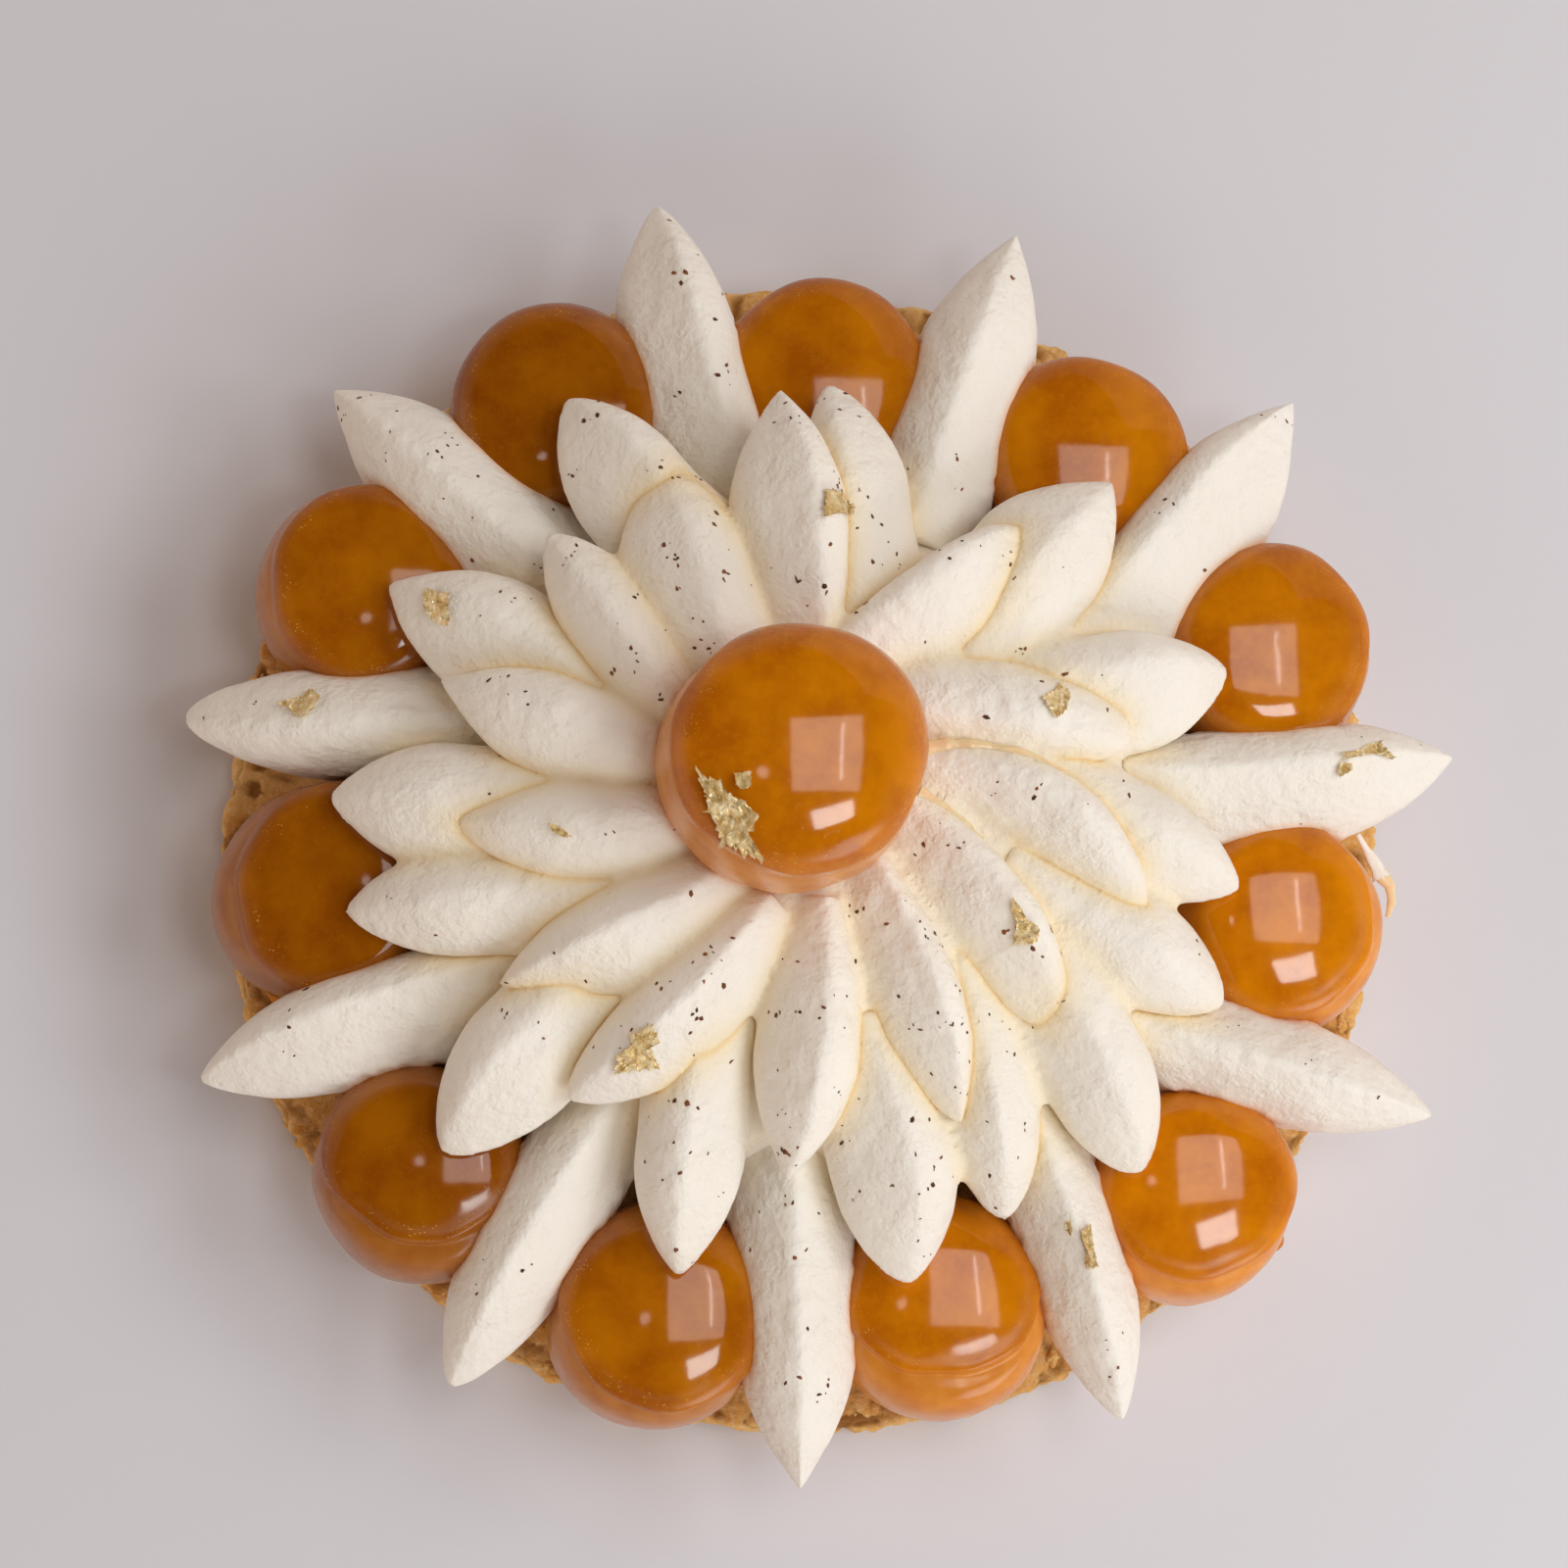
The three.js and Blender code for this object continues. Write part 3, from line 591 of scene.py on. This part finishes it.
def tree_of(skin):
    """A tree that answers which point of a skin is nearest, or which a ray meets first."""
    points, quads, tris = skin
    return BVHTree.FromPolygons(points.tolist(), quads.tolist() + tris.tolist())


def faded(distance, fade):
    """exp(-distance / fade), less its value at twice the fade and stretched to run from 0 to 1."""
    return (np.exp(-np.minimum(distance / fade, 2)) - math.exp(-2)) / (1 - math.exp(-2))


def nearness(points, trees, boxes, fade):
    """How near each point is to the nearest of the trees. A tree is asked only in its grown box."""
    limit = 2 * fade
    nearest = np.full(len(points), limit)
    for tree, (low, high) in zip(trees, boxes):
        for i in np.nonzero(np.all((points > low - limit) & (points < high + limit), axis=1))[0]:
            hit = tree.find_nearest(points[i], nearest[i])
            if hit[3] is not None:
                nearest[i] = hit[3]
    return faded(nearest, fade)


def second_nearness(points, trees, boxes, fade):
    """How near each point is to the second nearest of the trees."""
    limit = 2 * fade
    nearest = np.full((len(points), 2), limit)
    for tree, (low, high) in zip(trees, boxes):
        for i in np.nonzero(np.all((points > low - limit) & (points < high + limit), axis=1))[0]:
            hit = tree.find_nearest(points[i], nearest[i, 1])
            if hit[3] is not None:
                nearest[i] = sorted((nearest[i, 0], hit[3]))
    return faded(nearest[:, 1], fade)


def turned(profile, seed):
    """The profile turned round the middle, with soft waves on it."""
    run = np.concatenate([[0], np.cumsum(np.linalg.norm(np.diff(profile, axis=0), axis=1))])
    even = np.linspace(0, run[-1], 60)[1:-1]
    line = np.stack([np.interp(even, run, profile[:, k]) for k in (0, 1)], -1) * MM
    turn = np.linspace(0, 2 * np.pi, 120, endpoint=False)[None, :]
    form = np.stack([line[:, :1] * np.cos(turn), line[:, :1] * np.sin(turn), line[:, 1:] + 0 * turn], -1)
    return closed_skin(form + outward(form) * (0.4 * MM * noise(form, 9 * MM, seed))[..., None])


def skin_normals(points, faces):
    """The direction out of a skin at each point: the sum of the crosses of the diagonals around it."""
    crosses = np.cross(points[faces[:, 2]] - points[faces[:, 0]], points[faces[:, 3]] - points[faces[:, 1]])
    normals = np.zeros_like(points)
    for k in range(4):
        np.add.at(normals, faces[:, k], crosses)
    return normals / np.maximum(np.linalg.norm(normals, axis=1, keepdims=True), 1e-12)


def swelling(points, free_from, free_to):
    """How far the cream spreads at each point: not at all at the free tips, and at the roots by a
    little, or by more on the right."""
    root = 1 - smooth_between(free_from, free_to, np.hypot(points[:, 0], points[:, 1]))
    return root * (SPREAD + MORE_SPREAD * smooth_between(0, 20 * MM, points[:, 0]))


def wrapped(points, faces, cube):
    """The outermost skin round some closed skins, found on a grid of cubes by the Remesh modifier.
    Skins of hollows inside it are left out: each point takes the least number of its neighbours'
    until nothing changes, and only the points of the most common number stay."""
    mesh = bpy.data.meshes.new("wrapped")
    mesh.from_pydata(points.tolist(), [], [[v for v in face if v >= 0] for face in faces.tolist()])
    form = bpy.data.objects.new("wrapped", mesh)
    bpy.context.scene.collection.objects.link(form)
    remesh = form.modifiers.new("wrap", "REMESH")
    remesh.mode = "VOXEL"
    remesh.voxel_size = cube
    found = form.evaluated_get(bpy.context.evaluated_depsgraph_get()).data
    points = np.empty(3 * len(found.vertices), np.float32)
    found.vertices.foreach_get("co", points)
    faces = np.empty(len(found.loops), np.int32)
    found.loops.foreach_get("vertex_index", faces)
    points, faces = points.reshape(-1, 3).astype(float), faces.reshape(-1, 4)
    bpy.data.objects.remove(form)
    bpy.data.meshes.remove(mesh)
    group, before = np.arange(len(points)), None
    while before is None or np.any(before != group):
        before = group.copy()
        least = group[faces].min(1)
        for k in range(4):
            np.minimum.at(group, faces[:, k], least)
        group = group[group]
    outer = np.bincount(group).argmax()
    used, faces = np.unique(faces[group[faces[:, 0]] == outer], return_inverse=True)
    return points[used], faces.reshape(-1, 4)


def eased(points, faces, times):
    """Each point moved halfway to the mean of its neighbours along the faces' edges, some times."""
    ends = np.concatenate([faces[:, [k, (k + 1) % 4]] for k in range(4)])
    count = np.bincount(ends[:, 0], minlength=len(points))[:, None]
    for _ in range(times):
        total = np.stack([np.bincount(ends[:, 0], points[ends[:, 1], k], len(points)) for k in range(3)], -1)
        points = 0.5 * points + 0.5 * total / count
    return points


def grown_together(skins, free_from, free_to, cube):
    """Piped petals run into one another: all are swollen, wrapped in one skin, shrunk by as much as
    they were swollen, and eased. That rounds the clefts between them and keeps their crests."""
    points, quads, tris = joined(skins)
    faces = np.concatenate([quads, np.column_stack([tris, tris[:, 2]])])
    swollen = points + skin_normals(points, faces) * swelling(points, free_from, free_to)[:, None]
    faces = np.concatenate([quads, np.column_stack([tris, np.full(len(tris), -1)])])
    points, faces = wrapped(swollen, faces, cube)
    points = eased(points, faces, 1)
    points = points - skin_normals(points, faces) * swelling(points, free_from, free_to)[:, None]
    return eased(points, faces, 1), faces, np.zeros((0, 3), int)


CREAM = whipped_cream()
# Painted light on the cream: how far the warm nook shade and the amber bounce light beside the puffs reach.
NOOK_SHADE_FADE = 3 * MM
AMBER_LIGHT_FADE = 0.9 * MM
SPREAD, MORE_SPREAD = 0.25 * MM, 0.75 * MM
COLLAR = np.array([(0, 56), (20, 56), (25, 54), (29, 49), (28, 44), (0, 44)])
SLAB = np.array([(0, 50.5), (36, 50.5), (43, 49), (53, 43), (58, 36), (52, 33), (0, 33)])
FILLING = (31 * MM, -2 * MM, 50.3 * MM, 6.8 * MM)
bed_skin = turned(BED_PROFILE, 77)
# The bed, which lies under the petals, takes the full painted nook shade.
lay("cream_bed_spread", bed_skin, CREAM, ["cream_bed"], {"painted_nook_shade": np.ones(len(bed_skin[0]))})
petals = {}
for ring_seed, kind in ((200, OUTER), (300, MIDDLE), (400, INNER)):
    for number, row in enumerate(kind["rows"], 1):
        name = f"{kind['name']}_{number:02d}"
        petals[name] = (kind, row, piped_petal(kind, row, name, ring_seed + 5 * number))
cream_trees = {name: tree_of(skin) for name, (_, _, skin) in petals.items()}
cream_boxes = {name: (skin[0].min(0), skin[0].max(0)) for name, (_, _, skin) in petals.items()}
puff_trees = []
puff_boxes = []
for puff in puffs:
    points = np.array([vertex.co for vertex in puff.data.vertices])
    puff_trees.append(BVHTree.FromPolygons(points.tolist(), [list(p.vertices) for p in puff.data.polygons]))
    puff_boxes.append((points.min(0), points.max(0)))
cream_skins = [bed_skin]
for name, (kind, row, skin) in petals.items():
    if kind is OUTER:
        others = [other for other in petals if other != name]
        other_trees, other_boxes = [cream_trees[o] for o in others], [cream_boxes[o] for o in others]
        # painted nook shade and painted amber bounce light at each point
        marks = {
            "painted_nook_shade": nearness(skin[0], other_trees, other_boxes, NOOK_SHADE_FADE),
            "caramel_bounce_light": nearness(skin[0], puff_trees, puff_boxes, AMBER_LIGHT_FADE),
        }
        lay(f"{name}_piped", skin, CREAM, [name], marks)
        cream_skins.append(skin)
for kind, heart, free_from, free_to, cube in (
    (MIDDLE, [turned(SLAB, 78)], 50 * MM, 68 * MM, 0.76 * MM),
    (INNER, [turned(COLLAR, 79), ball(*FILLING, 0.6)], 36 * MM, 52 * MM, 0.6 * MM),
):
    names = [name for name, (of_kind, _, _) in petals.items() if of_kind is kind]
    skin = grown_together([petals[name][2] for name in names] + heart, free_from, free_to, cube)
    trees, boxes = list(cream_trees.values()), list(cream_boxes.values())
    # painted nook shade and painted amber bounce light at each point
    marks = {
        "painted_nook_shade": second_nearness(skin[0], trees, boxes, NOOK_SHADE_FADE),
        "caramel_bounce_light": nearness(skin[0], puff_trees, puff_boxes, AMBER_LIGHT_FADE),
    }
    lay(f"{kind['name']}s_piped", skin, CREAM, names, marks)
    cream_skins.append(skin)

# Vanilla: dark grains scraped from the pod, stirred into the cream and dusted over it, often two or
# three together, thick on some petals and almost absent on others.
GRAIN_SEED = 23
GRAIN_SMALL, GRAIN_LARGE = 0.22 * MM, 0.65 * MM
USUAL_CLUSTERS = 3
CLUSTERS = {
    "inner_petal_01": 16, "inner_petal_02": 20, "inner_petal_03": 12, "inner_petal_07": 16,
    "inner_petal_08": 18, "inner_petal_09": 24, "inner_petal_10": 9, "inner_petal_13": 9,
    "middle_petal_02": 16, "middle_petal_08": 12, "middle_petal_09": 18, "middle_petal_10": 14,
    "middle_petal_01": 8, "outer_petal_01": 10, "outer_petal_07": 12, "outer_petal_11": 16,
    "outer_petal_02": 6, "outer_petal_03": 6,
}


def vanilla_seeds():
    """Dark brown, some grains redder than others, with a dull shine."""
    finish = Finish("vanilla_seeds", Roughness=0.6, Specular_IOR_Level=0.2)
    finish.colour(finish.mix(finish.ramp(finish.noise(2.5 * MM, 2), 0.4, 0.65), (0.085, 0.034, 0.016, 1),
                             (0.3, 0.1, 0.03, 1)))
    finish.relief((finish.noise(0.3 * MM, 2), 0.05 * MM))
    return finish.material


def grain(place, normal, size, draw):
    """A splinter: two rings of five points and two end points, each point moved at random, stretched
    one way and laid along the surface."""
    stretch = np.array([1.0, draw.uniform(0.4, 0.85), 0.5]) * size
    turn = np.linspace(0, 2 * np.pi, 5, endpoint=False) + draw.uniform(0, 6)
    rings = np.array([[(math.cos(a) * r, math.sin(a) * r, z) for a in turn]
                      for r, z in ((0.75, -0.6), (0.95, 0.25))])
    rings = rings * (1 + draw.uniform(-0.4, 0.4, rings.shape[:2]))[..., None]
    lie = Vector(normal).to_track_quat("Z", "Y").to_matrix() @ Matrix.Rotation(draw.uniform(0, 6), 3, "Z")
    points, quads, tris = closed_skin(rings * stretch)
    return points @ np.array(lie).T + place, quads, tris


DOWN = Vector((0, 0, -1))
SKY = 0.2
covered = [tree_of(joined(cream_skins))]


def first_hit(trees, x, y):
    """The highest point that a ray down onto the trees meets, and its normal."""
    hits = [tree.ray_cast(Vector((x, y, SKY)), DOWN)[:2] for tree in trees]
    hits = [hit for hit in hits if hit[0] is not None]
    return max(hits, key=lambda hit: hit[0].z) if hits else (None, None)


draw = np.random.default_rng(GRAIN_SEED)
grains = []
for name, (kind, row, _) in petals.items():
    for _ in range(CLUSTERS.get(name, USUAL_CLUSTERS)):
        along, across = draw.uniform(0.05, 0.85), draw.uniform(-0.85, 0.85)
        x, y, z = petal_points(kind, row, np.array(along), np.array(across), False)
        for _ in range(draw.choice([1, 1, 1, 2, 2, 3])):
            size = GRAIN_SMALL + (GRAIN_LARGE - GRAIN_SMALL) * draw.uniform() ** 1.7
            place, normal = first_hit(covered, x, y)
            if place is not None and abs(place.z - z) < 1.5 * MM:
                grains.append(grain(np.array(place), normal, size, draw))
            x, y = x + draw.normal(0, 1.3 * MM), y + draw.normal(0, 1.3 * MM)
lay("vanilla_grains", joined(grains), vanilla_seeds())

# Gold leaf: scraps torn from a sheet and dropped on the petals and the top puff, where they crumple.
# Each row: where the scrap's middle lies, and its corners from there, in mm.
SCRAPS = [
    (-18.2, -2.3, [(-5.8, 8.4), (-4.1, 6.5), (-1.8, 6.3), (-0.8, 4.1), (2.4, 2.7), (4.4, 0.4), (3.1, -3.1),
                   (6.2, -7.5), (1.3, -5.4), (-1.5, -4.1), (-3.1, 0.5), (-4.5, 1), (-3.8, 2.6), (-5.3, 6.5)]),
    (-16.3, 3.4, [(-1.4, 1.3), (1.4, 1.8), (1.3, -0.8), (-0.2, -1.3), (-1.2, -0.5)]),
    (-88.7, 22.3, [(-4.1, 0.2), (-2.1, 0.7), (0.4, 1.4), (1.6, 3), (3.1, 1.1), (2, -1.4), (0.7, -2.7),
                   (-0.9, -2.3), (-2.2, -0.5), (-3.3, -0.6)]),
    (-65.6, 37.6, [(-2.4, 3.6), (0.2, 2.4), (2.1, 2.1), (1.7, 1.1), (2, -2.2), (1.7, -3.4), (0.3, -3.3),
                   (-1.4, -1.7), (-2.4, -0.7)]),
    (-45.1, -2, [(-2.1, 1.2), (-0.2, 0.7), (2.3, -1.2), (0.8, -1.2), (-1, -0.5)]),
    (-31.4, -38.8, [(-4.1, -3.4), (-3.8, -0.4), (-1.4, 1.3), (-1.8, 2.9), (0.7, 4.1), (1.3, 5.3), (2.5, 3.4),
                    (3.2, 1.7), (1.8, 1), (3.4, -2.3), (-1.7, -3)]),
    (1.9, 54.4, [(-2.4, 2.3), (0.7, 2.4), (3.1, 1), (2.9, -0.7), (-1.2, -2.3), (-3.2, -3.1), (-2.7, 0.5)]),
    (38.8, 21.4, [(-3, 0.3), (-0.7, 1.6), (1.6, 4), (2.1, 2.6), (2.7, 1), (1.8, -1.3), (0, -3.2),
                  (-0.7, -3.3), (-2.1, -1)]),
    (96.5, 16.2, [(-5.3, -0.5), (-3.1, -0.2), (-1.4, 0.3), (-0.4, 1.1), (1.4, 1.6), (3.1, 2.5), (2.8, 1.3),
                  (5.3, -0.7), (5, -1.2), (3.4, 0), (0.4, -0.5), (-4.6, -1.7)]),
    (92.1, 13.1, [(-1.4, -0.7), (-0.7, 1), (1.2, 0.7), (1.6, -0.2), (-0.7, -1.6)]),
    (32.4, -17.3, [(-2, 4.7), (-1.3, 4.2), (0.7, 1.1), (2.8, -0.1), (2.4, -2.7), (0, -3.1), (-1.6, -3),
                   (-1.2, 0.8), (-2.2, 3.2)]),
    (46, -69.7, [(-1.4, 2.5), (0.6, 3.8), (0.9, 0.6), (1.7, -3.8), (-0.5, -4.1), (-0.8, -3.1), (0.2, -2.2),
                 (-0.8, 0)]),
    (42.6, -66.8, [(-0.6, 1.1), (0.2, 1.4), (0.6, -0.5), (0.3, -1.4), (-0.5, -0.2)]),
]
LEAF_THICKNESS = 0.07 * MM


def gold_leaf():
    """Crumpled metal, dull and pale, here and there brighter or more olive."""
    finish = Finish("gold_leaf", Metallic=0.6)
    patches = finish.ramp(finish.noise(1.5 * MM, 3), 0.4, 0.6)
    finish.colour(finish.mix(patches, (1.0, 0.87, 0.56, 1), (0.8, 0.6, 0.27, 1)))
    crumpled = finish.ramp(finish.noise(4.5 * MM, 1), 0.42, 0.56)
    finish.gloss(finish.ramp(crumpled, 0, 1, 0.14, 0.4))
    creases = finish.times(finish.noise(0.9 * MM, 3, 0.65), crumpled)
    finish.relief((creases, 0.7 * MM), (finish.noise(2.5 * MM, 2), 0.25 * MM))
    return finish.material


def torn_edge(corners, steps, draw):
    """Points evenly spaced along the straight lines that join the corners, pushed in and out by up to
    a seventh of their distance from the middle."""
    loop = np.array(corners + corners[:1]) * MM
    run = np.concatenate([[0], np.cumsum(np.linalg.norm(np.diff(loop, axis=0), axis=1))])
    even = np.linspace(0, run[-1], steps, endpoint=False)
    line = np.stack([np.interp(even, run, loop[:, k]) for k in (0, 1)], -1)
    return line * (1 + draw.uniform(-0.14, 0.08, (steps, 1)))


def leaf_scrap(trees, x, y, corners, seed):
    """A torn sheet as a grid of rings round its middle. It stands off what it lies on by folds along
    straight lines: a sum of triangle waves in random directions."""
    rings, steps = 26, 96
    draw = np.random.default_rng(seed)
    share = np.linspace(0.05, 1, rings)[:, None]
    edge = torn_edge(corners, steps, draw)
    east, north = x * MM + share * edge[:, 0], y * MM + share * edge[:, 1]
    hits = [first_hit(trees, a, b)[0] for a, b in zip(east.ravel(), north.ravel())]
    height = np.array([hit.z if hit else np.nan for hit in hits]).reshape(east.shape)
    height = np.where(np.isnan(height), np.nanmin(height), height)
    sheet = np.stack([east, north, height], -1)
    folds = 0
    for _ in range(9):
        heading, pitch = draw.uniform(0, np.pi), draw.uniform(0.7, 2.8) * MM
        run = (east * math.cos(heading) + north * math.sin(heading)) / pitch + draw.uniform()
        run = run + 0.4 * noise(sheet, 2.5 * MM, seed)
        folds = folds + pitch * np.abs((run % 1) - 0.5)
    sheet[..., 2] += 0.1 * MM + 0.28 * folds * (0.4 + 0.6 * share)
    under = sheet - np.array([0, 0, LEAF_THICKNESS])
    return closed_skin(np.concatenate([under, sheet[::-1]]))


scraps = [leaf_scrap(covered + puff_trees[-1:], x, y, corners, seed)
          for seed, (x, y, corners) in enumerate(SCRAPS, 500)]
lay("gold_leaf", joined(scraps), gold_leaf(), smooth=False)

# Threads of caramel that ran off the top puff into the clefts between the petals on the right, and
# what hangs on the two puffs at the right: a smear of cream, a splinter of caramel and a drop of it.
# Each row: the thickness at its start, and the places that it passes, in mm.
THREADS = [
    (4.0, [(14.6, 12.2), (17.1, 12.9), (22.1, 13.6), (26.3, 13.5), (31.3, 12.7), (35, 11.8), (40.5, 9.5)]),
    (2.8, [(15.4, 5.5), (20.4, 2.9), (24.5, 0.1), (26.9, -1.7)]),
]
SMEAR = [(103.7, -3.4, 19), (102.7, -1.3, 19.5), (100.9, 1.5, 20), (99.2, 4.3, 20.5)]
SPLINTER = [(103.5, -2.5, 19), (105.2, -4.7, 19), (105.6, -7.5, 18.5), (104.9, -10.3, 18)]
DROP = (84.2 * MM, -67.6 * MM, 11.5 * MM, 2.3 * MM)


def thread_colour():
    """Thin caramel over cream: pale orange with a shine."""
    finish = Finish("caramel_thread", Roughness=0.15, Subsurface_Weight=0.5,
                    Subsurface_Radius=(1.0, 0.5, 0.2), Subsurface_Scale=0.0012)
    finish.colour(finish.mix(finish.noise(3 * MM, 2), (0.97, 0.77, 0.52, 1), (0.94, 0.63, 0.33, 1)))
    return finish.material


def along_line(places):
    """Points evenly spaced along the straight lines that join the places."""
    line = np.array(places) * MM
    run = np.concatenate([[0], np.cumsum(np.linalg.norm(np.diff(line, axis=0), axis=1))])
    even = np.linspace(0, run[-1], 90)
    return np.stack([np.interp(even, run, line[:, k]) for k in range(line.shape[1])], -1)


def draped(places):
    """The line along the places, on the cream that lies beneath it."""
    line = along_line(places)
    height = np.array([first_hit(covered, x, y)[0].z for x, y in line])
    return np.column_stack([line, np.convolve(np.pad(height, 3, "edge"), np.ones(7) / 7, "valid")])


def strand(start, middle):
    """A flattened round tube along the points. Its thickness falls to a quarter with the square root
    of the share gone, wavering with noise."""
    ahead = np.gradient(middle, axis=0)
    beside = np.cross(ahead, [0, 0, 1])
    beside /= np.linalg.norm(beside, axis=1, keepdims=True)
    gone = np.linspace(0, 1, len(middle))
    thick = start * MM * (1 - 0.75 * np.sqrt(gone)) * (1 + 0.25 * noise(middle, 2 * MM, 7))
    turn = np.linspace(0, 2 * np.pi, 12, endpoint=False)[None, :, None]
    ring = beside[:, None] * np.cos(turn) + np.array([0, 0, 0.5]) * np.sin(turn)
    return closed_skin(middle[:, None] + 0.5 * thick[:, None, None] * ring)


thread_finish = thread_colour()
threads = joined([strand(thick, draped(places)) for thick, places in THREADS])
lay("caramel_threads", threads, thread_finish)
lay("cream_smear", strand(4, along_line(SMEAR)), CREAM)
lay("caramel_splinter", strand(3.6, along_line(SPLINTER)), thread_finish)
lay("caramel_drop", ball(*DROP, 0.9), CARAMEL)

# The studio: a pale table, a soft light with a bright tube in it nearly overhead, a smaller one
# beside it, a lamp by the lens, panels on the right, in front and, dim, on the left, a warm fill,
# pale walls and a dark ceiling. The caramel doesn't mirror the fill or two of the panels.
TABLE_SIZE = 3.0
CAMERA_DISTANCE = 752 * MM
CAMERA_TILT_X, CAMERA_TILT_Y = 5.0, 8.0
LOOKED_AT = Vector((-2.7, 14.2, 6)) * MM
LENS = 95.5


def table_top():
    """Matt paint, very slightly mottled."""
    finish = Finish("table_paint", Roughness=0.6, Specular_IOR_Level=0.3)
    finish.colour(finish.mix(finish.noise(0.2, 2), (0.745, 0.745, 0.79, 1), (0.775, 0.775, 0.82, 1)))
    finish.relief((finish.noise(0.004, 2), 0.02 * MM))
    return finish.material


def add_table():
    half = TABLE_SIZE / 2
    mesh = bpy.data.meshes.new("table")
    corners = [(-half, -half, 0), (half, -half, 0), (half, half, 0), (-half, half, 0)]
    mesh.from_pydata(corners, [], [(0, 1, 2, 3)])
    mesh.materials.append(table_top())
    table = bpy.data.objects.new("table", mesh)
    bpy.context.scene.collection.objects.link(table)
    table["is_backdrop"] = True


def add_light(name, toward, distance, width, height, radiance, colour, roll=0, shape="RECTANGLE"):
    """A flat light that faces the cake, width across and height up in a view from above. Its power is
    pi times its area times its radiance."""
    light = bpy.data.lights.new(name, "AREA")
    light.shape = shape
    light.size, light.size_y = width, height
    light.energy = math.pi * width * height * radiance
    light.color = colour
    lamp = bpy.data.objects.new(name, light)
    back = Vector(toward).normalized()
    across = Vector((0, 1, 0)).cross(back).normalized()
    facing = Matrix((across, back.cross(across), back)).transposed()
    facing = facing @ Matrix.Rotation(math.radians(roll), 3, "Z")
    lamp.matrix_world = Matrix.Translation(back * distance) @ facing.to_4x4()
    bpy.context.scene.collection.objects.link(lamp)
    return lamp


def add_camera():
    tilts = (CAMERA_TILT_X, CAMERA_TILT_Y)
    ahead = Vector([math.tan(math.radians(tilt)) for tilt in tilts] + [-1]).normalized()
    up = Vector((0, 1, 0))
    up = (up - ahead * up.dot(ahead)).normalized()
    right = ahead.cross(up)
    turn = Matrix((right, up, -ahead)).transposed().to_4x4()
    data = bpy.data.cameras.new("camera")
    data.lens = LENS
    data.sensor_width = 36
    data.clip_start, data.clip_end = 0.01, 20
    camera = bpy.data.objects.new("camera", data)
    camera.matrix_world = Matrix.Translation(LOOKED_AT - ahead * CAMERA_DISTANCE) @ turn
    bpy.context.scene.collection.objects.link(camera)
    bpy.context.scene.camera = camera


add_table()
add_light("overhead_softbox", (0.19, 0.12, 1), 1.5, 0.42, 0.44, 3.35, (1.0, 0.92, 0.87))
add_light("softbox_tube", (0.249, 0.13, 1), 1.49, 0.013, 0.32, 11.0, (1.0, 0.92, 0.88))
add_light("small_softbox", (0.235, -0.15, 1), 1.4, 0.25, 0.16, 10.5, (0.95, 1.0, 1.0), roll=17)
add_light("lens_lamp", (-0.06, 0.04, 1), 1.2, 0.05, 0.05, 3.5, (1.0, 0.85, 0.78), shape="ELLIPSE")
add_light("right_panel", (0.64, 0.08, 0.8), 1.2, 0.45, 0.8, 4.25, (0.93, 0.97, 1.0)).visible_glossy = False
add_light("right_front_panel", (0.65, -0.9, 0.75), 1.2, 0.6, 0.6, 3.55, (0.93, 0.96, 1.0))
add_light("front_panel", (-0.2, -0.9, 0.75), 1.2, 0.5, 0.5, 1.0, (1.0, 0.88, 0.75)).visible_glossy = False
add_light("right_back_panel", (0.65, 0.9, 0.75), 1.2, 0.9, 0.9, 0.37, (1.0, 0.77, 0.64))
add_light("left_panel", (-0.9, -0.05, 0.42), 1.0, 0.9, 0.8, 0.38, (1.0, 0.8, 0.67))
add_light("top_fill", (-0.1, -0.1, 1), 1.6, 0.8, 0.8, 0.25, (1.0, 0.78, 0.58)).visible_glossy = False
add_camera()
world = bpy.data.worlds.new("pale_room")
world.use_nodes = True
room = world.node_tree
heading = room.nodes.new("ShaderNodeTexCoord")
split = room.nodes.new("ShaderNodeSeparateXYZ")
fade = room.nodes.new("ShaderNodeMapRange")
room.links.new(heading.outputs["Generated"], split.inputs[0])
room.links.new(split.outputs["Z"], fade.inputs["Value"])
for socket, value in (("From Min", 0.1), ("From Max", 0.75), ("To Min", 0.8), ("To Max", 0.02)):
    fade.inputs[socket].default_value = value
room.links.new(fade.outputs["Result"], room.nodes["Background"].inputs["Strength"])
room.nodes["Background"].inputs["Color"].default_value = (1.0, 0.78, 0.65, 1)
bpy.context.scene.world = world
bpy.context.scene.view_settings.view_transform = "Standard"

boxes = {"cad": cad_box, "visual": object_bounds()}
